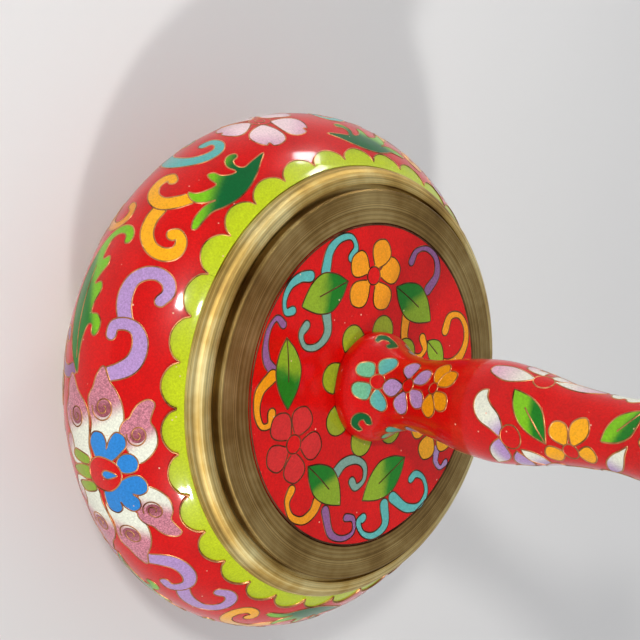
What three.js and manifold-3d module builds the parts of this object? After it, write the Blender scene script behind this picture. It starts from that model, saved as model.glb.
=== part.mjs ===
// Cloisonne incense burner: a compressed round bowl with a brass mouth, a lid whose
// baluster stem is its handle and chimney, and a gilt lotus that slips on the stem.
// Millimetres, +Z up, origin under the middle of the foot ring.
import * as THREE from 'three';
import { mergeVertices } from 'three/addons/utils/BufferGeometryUtils.js';
import Module from 'manifold-3d';

const wasm = await Module();
wasm.setup();

// Gap between pieces that touch, and play between pieces that slide
const seatGap = 0.3;
const slideGap = 0.6;

// Bowl
const bellyRadius = 60;
const bellyHeight = 32;
const bellyDepth = 33;
const mouthRadius = 48;
const mouthHeight = 51;
const shellWall = 1.8;

// Foot ring
const footHeight = 6;
const footWall = 4.5;
const footSpread = 1.2;
const footEdge = 0.5;
const footBandHeight = 1.8;
const footWaistHeight = 2.7;

// Lid plate and its enamelled disc
const plateBorder = 7.6;
const lidThickness = 2.5;
const lidEdgeChamfer = 0.4;
const discThickness = 1.6;
const discLedge = 2.8;
const spigotWall = 1.5;
const spigotDepth = 3;

// Mouth ring, and the groove between it and the lid
const mouldingWidth = 3.9;
const grooveWidth = 1;
const ringRise = 3.3;
const lidStandsProud = 1.4;
const lidLedge = 3.1;
const panLedge = 2.6;
const skirtDepth = 3.7;

// Ash pan
const panFlange = 5;
const panFlangeThickness = 0.9;
const panWall = 1.2;
const panDepth = 32;
const panCorner = 6;

// Stem: radii at heights above the lid's face
const stemRootRadius = 12;
const stemRootHeight = 2.2;
const stemLowNeckRadius = 7.7;
const stemLowNeckHeight = 14;
const stemBellyRadius = 10.15;
const stemBellyHeight = 34.5;
const stemHighNeckRadius = 6.95;
const stemHighNeckHeight = 58.5;
const stemTopRadius = 9.4;
const stemHeight = 78;
const stemWall = 1.6;
const stemTopTaper = 0.4;

// Tie tube, its nut, washer and ferrule
const tubeRadius = 3;
const tubeBore = 1.6;
const tubeTail = 1;
const washerRadius = 10;
const washerThickness = 1.2;
const nutAcrossFlats = 9;
const nutThickness = 3;
const ferruleRadius = 9.8;
const ferruleHeight = 4;

// Lotus head
const socketGrip = 8;
const socketFloor = 1.7;
const socketBaseRadius = 7.5;
const socketEdge = 1.2;
const calyxRadius = 12.6;
const calyxWall = 1.6;
const petalCount = 8;
const petalThickness = 1.1;
const outerPetalReach = 9;
const outerPetalRise = 11;
const outerPetalCup = 2;
const outerPetalShare = 0.98;
const outerPetalDrop = 1;
const innerPetalReach = 4.2;
const innerPetalRise = 16.5;
const innerPetalCup = 1.2;
const innerPetalShare = 0.88;
const domeRadius = 9.6;
const domeWall = 1.2;
const domeHoleRadius = 1.6;
const crownHoleRadius = 1.1;
const budRadius = 3.6;
const budHeight = 8.5;
const budPegRadius = 1.3;
const budPegLength = 2.4;

// Facets round a turned piece
const wideSides = 40;
const slimSides = 28;
const tubeSides = 20;

// Sizes that follow from those above
const lidRadius = mouthRadius - mouldingWidth - grooveWidth;
const discRadius = lidRadius - plateBorder;
const floorHeight = footHeight + seatGap;
const ringTop = mouthHeight + seatGap + ringRise;
const lidFace = ringTop + lidStandsProud;
const lidUnderside = lidFace - lidThickness;
const lidLedgeHeight = lidUnderside - seatGap;
const ringInnerRadius = lidRadius + grooveWidth;
const ringBore = ringInnerRadius - lidLedge;
const spigotRadius = ringBore - slideGap;
const spigotBottom = lidUnderside - spigotDepth;
const panFlangeTop = spigotBottom - seatGap;
const panFlangeBottom = panFlangeTop - panFlangeThickness;
const panLedgeHeight = panFlangeBottom - seatGap;
const panLedgeRadius = ringBore - panLedge;
const panRimRadius = ringBore - seatGap;
const panRadius = panRimRadius - panFlange;
const tubeHole = tubeRadius + seatGap;
const discUnderside = lidFace - discThickness;
const washerTop = discUnderside - seatGap;
const nutTop = washerTop - washerThickness - seatGap;
const stemFoot = lidFace + seatGap;
const stemTop = stemFoot + stemHeight;
const ferruleTop = stemTop + seatGap + ferruleHeight;
const headBase = ferruleTop + seatGap;
const calyxFloor = socketGrip + socketFloor;

const gilt = { color: 0xc9a24a, roughness: 0.34, metalness: 1 };
const brass = { color: 0x9c8a58, roughness: 0.42, metalness: 1 };
const enamel = { color: 0xc8321c, roughness: 0.18, metalness: 0 };

function piece(name, geometry, finish) {
  const mesh = new THREE.Mesh(geometry, new THREE.MeshStandardMaterial(finish));
  mesh.name = name;
  return mesh;
}

// A turned solid from a profile of [radius, height] points, anticlockwise with the axis on the left
function turned(profile, sides) {
  const points = profile.map(([radius, height]) => new THREE.Vector2(radius, height));
  const onAxis = profile[0][0] === 0 && profile[profile.length - 1][0] === 0;
  if (!onAxis) points.push(points[0].clone());
  const geometry = new THREE.LatheGeometry(points, sides);
  geometry.rotateX(Math.PI / 2);
  return geometry;
}

// Points of an ellipse quarter or less, from one angle to another in degrees
function arc(centre, radii, from, to, steps) {
  return Array.from({ length: steps + 1 }, (_, i) => {
    const angle = THREE.MathUtils.degToRad(from + ((to - from) * i) / steps);
    return [centre[0] + radii[0] * Math.cos(angle), centre[1] + radii[1] * Math.sin(angle)];
  });
}

function toSolid(geometry) {
  const bare = geometry.index ? geometry.clone() : geometry;
  bare.deleteAttribute('normal');
  bare.deleteAttribute('uv');
  const merged = mergeVertices(bare, 1e-4);
  return new wasm.Manifold(new wasm.Mesh({
    numProp: 3,
    vertProperties: Float32Array.from(merged.attributes.position.array),
    triVerts: Uint32Array.from(merged.index.array),
  }));
}

function toGeometry(solid) {
  const mesh = solid.getMesh();
  const geometry = new THREE.BufferGeometry();
  geometry.setAttribute('position', new THREE.BufferAttribute(mesh.vertProperties, 3));
  geometry.setIndex(new THREE.BufferAttribute(mesh.triVerts, 1));
  geometry.computeVertexNormals();
  return geometry;
}

// The bowl's outer ellipses, above and below its widest line
const mouthShare = Math.sqrt(1 - (mouthRadius / bellyRadius) ** 2);
const shoulderHeight = (mouthHeight - bellyHeight) / mouthShare;
const mouthAngle = THREE.MathUtils.radToDeg(Math.acos(mouthRadius / bellyRadius));
const floorAngle = THREE.MathUtils.radToDeg(Math.asin((bellyHeight - floorHeight) / bellyDepth));
const floorRadius = bellyRadius * Math.cos(THREE.MathUtils.degToRad(floorAngle));
const footRadius = floorRadius + footSpread;

// The inner wall stops this share of the way up to the mouth, below its rolled lip
const lipShare = 0.94;

function bowlShell() {
  const centre = [0, bellyHeight];
  const outer = [
    ...arc(centre, [bellyRadius, bellyDepth], -floorAngle, 0, 6),
    ...arc(centre, [bellyRadius, shoulderHeight], 0, mouthAngle, 6).slice(1),
  ];
  const innerRadius = bellyRadius - shellWall;
  const innerFloorAngle = THREE.MathUtils.radToDeg(
    Math.asin((bellyHeight - floorHeight - shellWall) / (bellyDepth - shellWall)));
  const inner = [
    ...arc(centre, [innerRadius, shoulderHeight - shellWall], mouthAngle * lipShare, 0, 5),
    ...arc(centre, [innerRadius, bellyDepth - shellWall], 0, -innerFloorAngle, 5).slice(1),
  ];
  const profile = [
    [0, floorHeight],
    ...outer,
    [mouthRadius - shellWall, mouthHeight],
    ...inner,
    [0, floorHeight + shellWall],
  ];
  return piece('bowl_shell', turned(profile, wideSides), enamel);
}

function footRing() {
  const innerRadius = footRadius - footWall;
  const waist = footRadius - footSpread;
  const profile = [
    [innerRadius, 0],
    [footRadius - footEdge, 0],
    [footRadius, footEdge],
    [footRadius, footBandHeight],
    [waist, footWaistHeight],
    [waist, footHeight],
    [innerRadius, footHeight],
  ];
  return piece('foot_ring', turned(profile, wideSides), brass);
}

function mouthRing() {
  const skirtRadius = mouthRadius - shellWall - seatGap;
  const seat = mouthHeight + seatGap;
  const skirtBottom = Math.min(seat - skirtDepth, panLedgeHeight - panWall);
  const moulding = arc([ringInnerRadius, seat], [mouthRadius - ringInnerRadius, ringRise], 0, 90, 5);
  const profile = [
    [panLedgeRadius, skirtBottom],
    [skirtRadius, skirtBottom],
    [skirtRadius, seat],
    ...moulding,
    [ringInnerRadius, lidLedgeHeight],
    [ringBore, lidLedgeHeight],
    [ringBore, panLedgeHeight],
    [panLedgeRadius, panLedgeHeight],
  ];
  return piece('mouth_ring', turned(profile, wideSides), brass);
}

function ashPan() {
  const bottom = panFlangeTop - panDepth;
  const profile = [
    [0, bottom],
    ...arc([panRadius - panCorner, bottom + panCorner], [panCorner, panCorner], -90, 0, 3),
    [panRadius, panFlangeBottom],
    [panRimRadius, panFlangeBottom],
    [panRimRadius, panFlangeTop],
    [panRadius - panWall, panFlangeTop],
    ...arc([panRadius - panCorner, bottom + panCorner],
      [panCorner - panWall, panCorner - panWall], 0, -90, 3),
    [0, bottom + panWall],
  ];
  return piece('ash_pan', turned(profile, wideSides), brass);
}

function lidPlate() {
  const recess = discRadius + seatGap;
  const ledge = recess - discLedge;
  const profile = [
    [ledge, lidUnderside],
    [spigotRadius - spigotWall, lidUnderside],
    [spigotRadius - spigotWall, spigotBottom],
    [spigotRadius, spigotBottom],
    [spigotRadius, lidUnderside],
    [lidRadius, lidUnderside],
    [lidRadius, lidFace - lidEdgeChamfer],
    [lidRadius - lidEdgeChamfer, lidFace],
    [recess, lidFace],
    [recess, discUnderside - seatGap],
    [ledge, discUnderside - seatGap],
  ];
  return piece('lid_plate', turned(profile, wideSides), brass);
}

function lidDisc() {
  const profile = [
    [tubeHole, discUnderside],
    [discRadius, discUnderside],
    [discRadius, lidFace],
    [tubeHole, lidFace],
  ];
  return piece('lid_disc', turned(profile, wideSides), enamel);
}

// The stem's outline rises through these rings, smoothed by a curve: a root like a trumpet's
// bell, a low neck, a belly, a high neck and a flared top
const stemRings = [
  [stemRootRadius, 0],
  [stemRootRadius, stemRootHeight],
  [stemRootRadius * 0.83, stemRootHeight + 3.2],
  [stemLowNeckRadius * 1.08, stemLowNeckHeight - 4.5],
  [stemLowNeckRadius, stemLowNeckHeight],
  [stemLowNeckRadius * 1.06, stemLowNeckHeight + 5],
  [stemBellyRadius * 0.91, stemBellyHeight - 9.3],
  [stemBellyRadius, stemBellyHeight],
  [stemBellyRadius * 0.88, stemBellyHeight + 9.8],
  [stemHighNeckRadius * 1.1, stemHighNeckHeight - 8],
  [stemHighNeckRadius, stemHighNeckHeight],
  [stemHighNeckRadius * 1.02, stemHighNeckHeight + 7],
  [stemTopRadius * 0.88, stemHeight - 5],
  [stemTopRadius, stemHeight],
];

function stemOutline(steps, wall) {
  const curve = new THREE.CatmullRomCurve3(
    stemRings.map(([radius, height]) => new THREE.Vector3(radius, height, 0)), false, 'centripetal');
  return curve.getPoints(steps).map((p) => [p.x - wall, stemFoot + p.y]);
}

function stem() {
  const outer = stemOutline(22, 0);
  const inner = stemOutline(12, stemWall)
    .filter(([, height]) => height > stemFoot + stemWall && height < stemTop - stemWall);
  const profile = [
    [tubeHole, stemFoot],
    ...outer,
    [tubeHole, stemTop],
    [tubeHole, stemTop - stemWall],
    [stemTopRadius - stemWall - stemTopTaper, stemTop - stemWall],
    ...inner.reverse(),
    [stemRootRadius - stemWall, stemFoot + stemWall],
    [tubeHole, stemFoot + stemWall],
  ];
  return piece('stem', turned(profile, slimSides), enamel);
}

function tieTube() {
  const bottom = nutTop - nutThickness - tubeTail;
  const top = headBase + socketGrip - seatGap;
  const profile = [
    [tubeBore, bottom],
    [tubeRadius, bottom],
    [tubeRadius, top],
    [tubeBore, top],
  ];
  return piece('tie_tube', turned(profile, tubeSides), brass);
}

function lidWasher() {
  const profile = [
    [tubeHole, washerTop - washerThickness],
    [washerRadius, washerTop - washerThickness],
    [washerRadius, washerTop],
    [tubeHole, washerTop],
  ];
  return piece('lid_washer', turned(profile, tubeSides), brass);
}

function lidNut() {
  const corner = nutAcrossFlats / Math.sqrt(3);
  const shape = new THREE.Shape();
  for (let i = 0; i < 6; i += 1) {
    const angle = (i * Math.PI) / 3;
    const point = [corner * Math.cos(angle), corner * Math.sin(angle)];
    if (i === 0) shape.moveTo(...point);
    else shape.lineTo(...point);
  }
  shape.closePath();
  const hole = new THREE.Path();
  hole.absarc(0, 0, tubeHole, 0, Math.PI * 2, true);
  shape.holes.push(hole);
  const geometry = new THREE.ExtrudeGeometry(shape, { depth: nutThickness, bevelEnabled: false });
  geometry.translate(0, 0, nutTop - nutThickness);
  return piece('lid_nut', geometry, brass);
}

function stemFerrule() {
  const bottom = stemTop + seatGap;
  const bead = arc([ferruleRadius - ferruleHeight / 2, bottom + ferruleHeight / 2],
    [ferruleHeight / 2, ferruleHeight / 2], -90, 90, 6);
  const profile = [
    [tubeHole, bottom],
    ...bead,
    [tubeHole, ferruleTop],
  ];
  return piece('stem_ferrule', turned(profile, slimSides), gilt);
}

// The head's pieces are measured from its own base
function headSocket() {
  const grip = tubeRadius + seatGap;
  const rim = calyxFloor + calyxWall;
  const profile = [
    [grip, 0],
    [socketBaseRadius, 0],
    [socketBaseRadius, socketEdge],
    [socketBaseRadius * 0.8, socketGrip * 0.35],
    [socketBaseRadius * 0.86, socketGrip * 0.6],
    [calyxRadius * 0.82, socketGrip * 0.88],
    [calyxRadius, calyxFloor],
    [calyxRadius, rim],
    [calyxRadius - calyxWall, rim],
    [calyxRadius - calyxWall, calyxFloor],
    [tubeBore, calyxFloor],
    [tubeBore, socketGrip],
    [grip, socketGrip],
  ];
  return piece('head_socket', turned(profile, slimSides), gilt);
}

// A petal is a curved, round-ended leaf: rows run from its root to its tip, columns across it.
// It widens from its root to its middle and closes in a round tip. Rows are closer at the tip.
const petalRootShare = 0.7;
const petalFullAt = 0.45;
const petalTipPower = 4;
const petalTipShare = 0.3;

function petalGeometry({ root, foot, reach, rise, width, curl, cup }) {
  const rows = 7;
  const columns = 4;
  const middle = (t) => {
    const lean = t ** curl;
    return new THREE.Vector3(root + reach * lean, 0, foot + rise * t);
  };
  const widening = (t) => petalRootShare
    + (1 - petalRootShare) * Math.sin((Math.PI / 2) * Math.min(1, t / petalFullAt));
  const closing = (t) => Math.sqrt(Math.max(0, 1 - t ** petalTipPower));
  const halfWidth = (t) => (width / 2) * Math.max(petalTipShare, widening(t) * closing(t));
  const along = (row) => Math.sin((Math.PI / 2) * (row / rows));
  const surface = (side) => (t, s) => {
    const centre = middle(t);
    const ahead = middle(Math.min(1, t + 0.01)).sub(middle(Math.max(0, t - 0.01))).normalize();
    const outward = new THREE.Vector3(ahead.z, 0, -ahead.x);
    const across = s * halfWidth(t);
    const edgeLift = -cup * (across / (width / 2)) ** 2;
    return centre.addScaledVector(outward, edgeLift + (side * petalThickness) / 2)
      .add(new THREE.Vector3(0, across, 0));
  };
  const front = surface(1);
  const back = surface(-1);
  const positions = [];
  const grid = [front, back].map((place) => {
    const ids = [];
    for (let i = 0; i <= rows; i += 1) {
      const line = [];
      for (let j = 0; j <= columns; j += 1) {
        line.push(positions.length / 3);
        positions.push(...place(along(i), (2 * j) / columns - 1).toArray());
      }
      ids.push(line);
    }
    return ids;
  });
  const faces = [];
  const quad = (a, b, c, d) => faces.push(a, b, c, a, c, d);
  const [top, under] = grid;
  for (let i = 0; i < rows; i += 1) {
    for (let j = 0; j < columns; j += 1) {
      quad(top[i][j], top[i][j + 1], top[i + 1][j + 1], top[i + 1][j]);
      quad(under[i][j], under[i + 1][j], under[i + 1][j + 1], under[i][j + 1]);
    }
    quad(top[i][0], top[i + 1][0], under[i + 1][0], under[i][0]);
    quad(top[i][columns], under[i][columns], under[i + 1][columns], top[i + 1][columns]);
  }
  for (let j = 0; j < columns; j += 1) {
    quad(top[0][j], under[0][j], under[0][j + 1], top[0][j + 1]);
    quad(top[rows][j], top[rows][j + 1], under[rows][j + 1], under[rows][j]);
  }
  const geometry = new THREE.BufferGeometry();
  geometry.setAttribute('position', new THREE.Float32BufferAttribute(positions, 3));
  geometry.setIndex(faces);
  geometry.computeVertexNormals();
  return geometry;
}

const petalSeat = calyxRadius + seatGap + petalThickness;

function outerPetals() {
  const shape = {
    root: petalSeat,
    foot: calyxFloor - outerPetalDrop,
    reach: outerPetalReach,
    rise: outerPetalRise,
    width: 2 * petalSeat * Math.tan(Math.PI / petalCount) * outerPetalShare,
    curl: 1.35,
    cup: outerPetalCup,
  };
  return petalRing('outer_petal', shape, 0);
}

function innerPetals() {
  const root = calyxRadius - calyxWall / 2 - petalThickness / 2;
  const shape = {
    root,
    foot: calyxFloor + calyxWall + seatGap,
    reach: innerPetalReach,
    rise: innerPetalRise,
    width: 2 * root * Math.tan(Math.PI / petalCount) * innerPetalShare,
    curl: 1.8,
    cup: innerPetalCup,
  };
  return petalRing('inner_petal', shape, Math.PI / petalCount);
}

function petalRing(name, shape, turn) {
  const geometry = petalGeometry(shape);
  return Array.from({ length: petalCount }, (_, i) => {
    const petal = piece(`${name}_${i + 1}`, geometry.clone(), gilt);
    petal.rotation.z = turn + (i * 2 * Math.PI) / petalCount;
    return petal;
  });
}

// The pierced dome stands on the calyx floor, inside the inner petals
function piercedDome() {
  const foot = calyxFloor + seatGap;
  const inner = domeRadius - domeWall;
  const pegHole = budPegRadius + seatGap;
  const outerTop = THREE.MathUtils.radToDeg(Math.acos(pegHole / domeRadius));
  const innerTop = THREE.MathUtils.radToDeg(Math.acos(pegHole / inner));
  const wallTop = foot + calyxWall;
  const profile = [
    [inner, foot],
    [domeRadius, foot],
    ...arc([0, wallTop], [domeRadius, domeRadius], 0, outerTop, 6),
    ...arc([0, wallTop], [inner, inner], innerTop, 0, 6),
  ];
  let solid = toSolid(turned(profile, slimSides));
  const pierce = (radius, tilt, turn) => {
    const drill = new THREE.CylinderGeometry(radius, radius, domeRadius, 12);
    drill.translate(0, domeRadius, 0);
    drill.rotateX(Math.PI / 2);
    drill.rotateY(Math.PI / 2 - tilt);
    drill.rotateZ(turn);
    drill.translate(0, 0, wallTop);
    solid = solid.subtract(toSolid(drill));
  };
  for (let i = 0; i < petalCount; i += 1) {
    const turn = (i * 2 * Math.PI) / petalCount;
    pierce(domeHoleRadius, THREE.MathUtils.degToRad(28), turn);
    pierce(crownHoleRadius, THREE.MathUtils.degToRad(58), turn + Math.PI / petalCount);
  }
  return piece('pierced_dome', toGeometry(solid), gilt);
}

function budFinial() {
  const seat = calyxFloor + seatGap + calyxWall + domeRadius + seatGap;
  const profile = [
    [0, seat - budPegLength],
    [budPegRadius, seat - budPegLength],
    [budPegRadius, seat],
    [budRadius * 0.6, seat],
    [budRadius, seat + budHeight * 0.3],
    [budRadius * 0.86, seat + budHeight * 0.55],
    [budRadius * 0.4, seat + budHeight * 0.85],
    [0, seat + budHeight],
  ];
  return piece('bud_finial', turned(profile, tubeSides), gilt);
}

const burner = new THREE.Group();
burner.add(footRing(), bowlShell(), mouthRing(), ashPan());

const lid = new THREE.Group();
lid.add(lidPlate(), lidDisc(), stem(), tieTube(), lidWasher(), lidNut(), stemFerrule());

const head = new THREE.Group();
head.position.z = headBase;
head.add(headSocket(), ...outerPetals(), ...innerPetals(), piercedDome(), budFinial());

const incenseBurner = new THREE.Group();
incenseBurner.add(burner, lid, head);

export default incenseBurner;
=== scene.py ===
"""A cloisonne incense burner: red enamelled bowl with a turned brass mouth, a lid whose enamelled
stem is its handle and chimney, and a gilt lotus head. Metres, +Z up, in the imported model's frame.
Sizes in this file are millimetres where they describe the object."""

import itertools
import math
import random
from bisect import bisect_right

import bmesh
import bpy
from mathutils import Matrix, Vector
from mathutils.geometry import delaunay_2d_cdt


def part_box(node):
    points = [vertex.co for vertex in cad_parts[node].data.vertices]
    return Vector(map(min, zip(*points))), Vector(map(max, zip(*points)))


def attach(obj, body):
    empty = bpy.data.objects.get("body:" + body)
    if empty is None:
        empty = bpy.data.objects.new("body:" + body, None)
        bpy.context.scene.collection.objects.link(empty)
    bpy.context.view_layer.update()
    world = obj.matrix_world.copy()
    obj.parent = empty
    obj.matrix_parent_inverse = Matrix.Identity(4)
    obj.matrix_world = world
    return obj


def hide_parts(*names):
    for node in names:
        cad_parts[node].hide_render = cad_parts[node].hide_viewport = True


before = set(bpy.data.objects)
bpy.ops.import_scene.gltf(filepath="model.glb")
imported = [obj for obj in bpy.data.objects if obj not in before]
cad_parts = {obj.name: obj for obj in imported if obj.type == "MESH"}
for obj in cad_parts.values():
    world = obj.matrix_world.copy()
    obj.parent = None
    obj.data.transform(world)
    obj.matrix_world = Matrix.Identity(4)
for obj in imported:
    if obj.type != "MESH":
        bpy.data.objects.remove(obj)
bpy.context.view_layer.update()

MM = 0.001
random.seed(7)

# Camera, in mm: where it stands, and the object's axes as the camera sees them
CAMERA_PLACE = (0, -181.2, 218.0)
CAMERA_LENS = 61.875
CAMERA_SENSOR = 36
AXIS_TILT = 44.954
AXIS_ROLL = -8.344
LID_CENTRE_SEEN = (11.49, -14.49, -242.36)

# Cloison wires and the enamel between them
WIRE_HALF_WIDTH = 0.18
WIRE_STANDS = 0.09
WIRE_FOOT = -0.08
WIRE_ROOM = 0.18
WIRE_STEP = 0.5
CELL_LIFT = 0.03
CELL_STEP = 0.012
CELL_DEPTH = 0.25

# Where the bowl's motifs stand, in degrees, and its two scalloped collars. The scrolls and leaves
# stand so far from their lotus, and stray a little: in degrees round and in mm along.
SCALLOPS = 34
FIRST_CUSP = -108.0
FOOT_SCALLOPS = 30
LOTUSES = (-62.0, 118.0)
BLOSSOMS = (-151.0, 29.0)
SCROLLS_FROM_LOTUS = 34.0
LEAVES_FROM_LOTUS = 64.0
LOWER_MOTIFS_FROM_LOTUS = (20.0, 49.0, 74.0)
STRAY_ROUND = 0.35
STRAY_ALONG = 0.2

# The disc's rim wire, and the lobes round the stem's root
RIM_WIRE_INSET = 0.1
ROOT_LOBES = 8
ROOT_LOBE_INSET = 0.6
ROOT_LOBE_REACH = 4.3
ROOT_LOBE_HALF_WIDTH = 3.4

# Turned pieces: a bend that counts as a corner, the step along round stretches, and how far the
# mouth ring's foot reaches down over the enamel
CORNER_BEND = 30
LATHE_STEP = 0.6
RING_FOOT_DROP = 0.27

# The gilt lotus head. A petal's share is its width beside its neighbour's, its rim begins at a
# share of its half width, and a row of the dome's holes is its radius, elevation and first azimuth.
SEAT_GAP = 0.3
CALYX_WALL = 1.6
PETALS = 8
OUTER_PETAL_DROP = 1.0
OUTER_PETAL = {"root": 14.0, "reach": 9.0, "rise": 11.0, "share": 0.98, "curl": 1.35, "cup": 2.0}
INNER_PETAL = {"root": 11.25, "reach": 4.2, "rise": 16.5, "share": 0.88, "curl": 1.8, "cup": 1.2}
PETAL_THICKNESS = 1.1
PETAL_RIM = 0.55
PETAL_RIM_FROM = 0.62
PETAL_RIB = 0.3
PETAL_RIB_SPREAD = 0.12
PETAL_ROOT_SHARE = 0.7
PETAL_FULL_AT = 0.45
PETAL_TIP_POWER = 4
DOME_RADIUS = 9.6
DOME_WALL = 1.2
DOME_FOOT_WALL = 1.6
DOME_PEG_HOLE = 1.6
DOME_ROW_HOLES = 8
DOME_ROWS = ((1.6, 28, 0.0), (1.1, 58, 22.5))


def srgb(red, green, blue, stipple=0.0):
    """A colour given as eight-bit sRGB numbers, in linear ones. Its last number is less where the
    enamel is stippled with darker grains."""
    def linear(value):
        value /= 255
        return value / 12.92 if value <= 0.04045 else ((value + 0.055) / 1.055) ** 2.4
    return (linear(red), linear(green), linear(blue), 1.0 - stipple)


RED = srgb(206, 8, 4)
LIME = srgb(184, 198, 20)
LEAF_LIME = srgb(122, 186, 20)
DISC_LIME = srgb(134, 164, 34)
GREEN = srgb(22, 116, 24)
DEEP_GREEN = srgb(0, 92, 40)
TURQUOISE = srgb(90, 172, 166)
MINT = srgb(112, 184, 142)
TEAL = srgb(120, 158, 142)
LILAC = srgb(184, 146, 198, 0.45)
PURPLE = srgb(146, 94, 144, 0.35)
ORANGE = srgb(232, 148, 18)
YELLOW = srgb(244, 168, 20)
WHITE = srgb(228, 228, 208)
PINK = srgb(214, 134, 148, 1.0)
PALE_PINK = srgb(216, 166, 186, 0.25)
BLUSH = srgb(236, 206, 208)
EYE = srgb(166, 88, 98, 1.0)
BLUE = srgb(44, 128, 200)
CORAL = srgb(200, 40, 38)
OLIVE = srgb(146, 162, 34)


# Directions and curves

def ray(angle):
    """The unit vector in the plane at an angle in radians."""
    return Vector((math.cos(angle), math.sin(angle)))


def toward(azimuth, elevation):
    """The unit vector in space at an azimuth and elevation in degrees."""
    az, el = math.radians(azimuth), math.radians(elevation)
    return Vector((math.cos(el) * math.cos(az), math.cos(el) * math.sin(az), math.sin(el)))


def arc(height, radius, rise, angles):
    """A turned piece's outline along an ellipse about a point of its axis."""
    return [(radius * math.cos(a), height + rise * math.sin(a)) for a in angles]


def eased(share):
    """A share from 0 to 1 that starts and ends gently."""
    return share * share * (3 - 2 * share)


def spline(points, step=0.4, closed=False):
    """A smooth line through points, by centripetal Catmull-Rom."""
    points = [Vector(p) for p in points]
    count = len(points)
    if closed:
        points = [points[-1], *points, points[0], points[1]]
    else:
        points = [2 * points[0] - points[1], *points, 2 * points[-1] - points[-2]]
    line = []
    for i in range(count if closed else count - 1):
        a, b, c, d = points[i:i + 4]
        gaps = [max((q - p).length, 1e-4) ** 0.5 for p, q in ((a, b), (b, c), (c, d))]
        start = ((b - a) / gaps[0] - (c - a) / (gaps[0] + gaps[1]) + (c - b) / gaps[1]) * gaps[1]
        end = ((c - b) / gaps[1] - (d - b) / (gaps[1] + gaps[2]) + (d - c) / gaps[2]) * gaps[1]
        steps = max(1, math.ceil((c - b).length / step))
        for k in range(steps):
            t = k / steps
            line.append((2 * t ** 3 - 3 * t ** 2 + 1) * b + (t ** 3 - 2 * t ** 2 + t) * start
                        + (3 * t ** 2 - 2 * t ** 3) * c + (t ** 3 - t ** 2) * end)
    if not closed:
        line.append(points[-2])
    return line


def resampled(line, step, closed=False):
    """The same line with points an even step apart."""
    points = [Vector(p) for p in line] + ([Vector(line[0])] if closed else [])
    marks = [0.0]
    for a, b in zip(points, points[1:]):
        marks.append(marks[-1] + (b - a).length)
    count = max(3, round(marks[-1] / step))
    out, k = [], 0
    for i in range(count if closed else count + 1):
        target = marks[-1] * i / count
        while k < len(marks) - 2 and marks[k + 1] < target:
            k += 1
        share = (target - marks[k]) / max(marks[k + 1] - marks[k], 1e-9)
        out.append(points[k].lerp(points[k + 1], min(1, share)))
    return out


def inside(point, outline):
    """Whether a point of the plane lies within an outline."""
    x, y = point
    within = False
    for (ax, ay), (bx, by) in zip(outline, outline[1:] + outline[:1]):
        if (ay > y) != (by > y) and x < ax + (y - ay) * (bx - ax) / (by - ay):
            within = not within
    return within


def band(points, widths, cut_start=False, cut_end=False):
    """The outline of a ribbon along a smooth line, with its width at each point and round ends."""
    line = spline(points, 0.3)
    stops = [i / (len(widths) - 1) for i in range(len(widths))]

    def half(share):
        for i in range(len(stops) - 1):
            if share <= stops[i + 1] + 1e-9:
                t = eased((share - stops[i]) / (stops[i + 1] - stops[i]))
                return (widths[i] + (widths[i + 1] - widths[i]) * t) / 2
        return widths[-1] / 2

    left, right = [], []
    for i, p in enumerate(line):
        ahead = line[min(i + 1, len(line) - 1)] - line[max(i - 1, 0)]
        side = Vector((-ahead.y, ahead.x)).normalized() * half(i / (len(line) - 1))
        left.append(p + side)
        right.append(p - side)

    def cap(centre, first, outward):
        radius = (first - centre).length
        start = math.atan2(first.y - centre.y, first.x - centre.x)
        turn = math.pi if ray(start - math.pi / 2).dot(outward) < 0 else -math.pi
        return [centre + radius * ray(start + turn * k / 7) for k in range(1, 7)]

    outline = list(left)
    if not cut_end:
        outline += cap(line[-1], left[-1], line[-1] - line[-2])
    outline += reversed(right)
    if not cut_start:
        outline += cap(line[0], right[0], line[0] - line[1])
    return outline


def leaf(base, tip, width, lean=0.0, widest=0.45):
    """The outline of a pointed leaf from its base to its tip. Lean bends its middle line aside."""
    base, tip = Vector(base), Vector(tip)
    along = tip - base
    side = Vector((-along.y, along.x)).normalized()
    swell = (0.0, 0.62, 1.0, 0.8, 0.38, 0.0)
    places = (0.0, widest * 0.42, widest, widest + 0.25, widest + 0.43, 1.0)

    def edge(sign):
        return [base + along * t + side * (sign * width / 2 * s + lean * 4 * t * (1 - t))
                for t, s in zip(places, swell)]

    return spline(edge(1), 0.4) + list(reversed(spline(edge(-1), 0.4)))[1:-1]


def egg(inner, outer, width, widest=0.6):
    """A petal's full oval, narrower at its inner end."""
    inner, outer = Vector(inner), Vector(outer)
    along = outer - inner
    side = Vector((-along.y, along.x)).normalized() * width / 2
    power = math.log(0.5) / math.log(widest)
    left, right = [], []
    for k in range(1, 12):
        t = (1 - math.cos(math.pi * k / 12)) / 2
        swell = math.sin(math.pi * t ** power) ** 0.62
        left.append(inner + along * t + side * swell)
        right.append(inner + along * t - side * swell)
    return [inner, *left, outer, *reversed(right)]


def notched(inner, outer, width, depth, widest=0.6):
    """A petal's full oval with a nick in the middle of its outer end."""
    outline = egg(inner, outer, width, widest)
    back = (Vector(inner) - Vector(outer)).normalized() * depth
    middle = len(outline) // 2
    for offset, share in ((-2, 0.0), (-1, 0.1), (0, 1.0), (1, 0.1), (2, 0.0)):
        outline[middle + offset] = outline[middle + offset] + back * share
    return outline


def circle(centre, radius, count=18):
    """Points round a centre."""
    return [Vector(centre) + radius * ray(2 * math.pi * k / count) for k in range(count)]


# Shades of a cell: functions of a place in the motif

def flat(colour):
    """One colour all over."""
    return lambda x, y: colour


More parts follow.
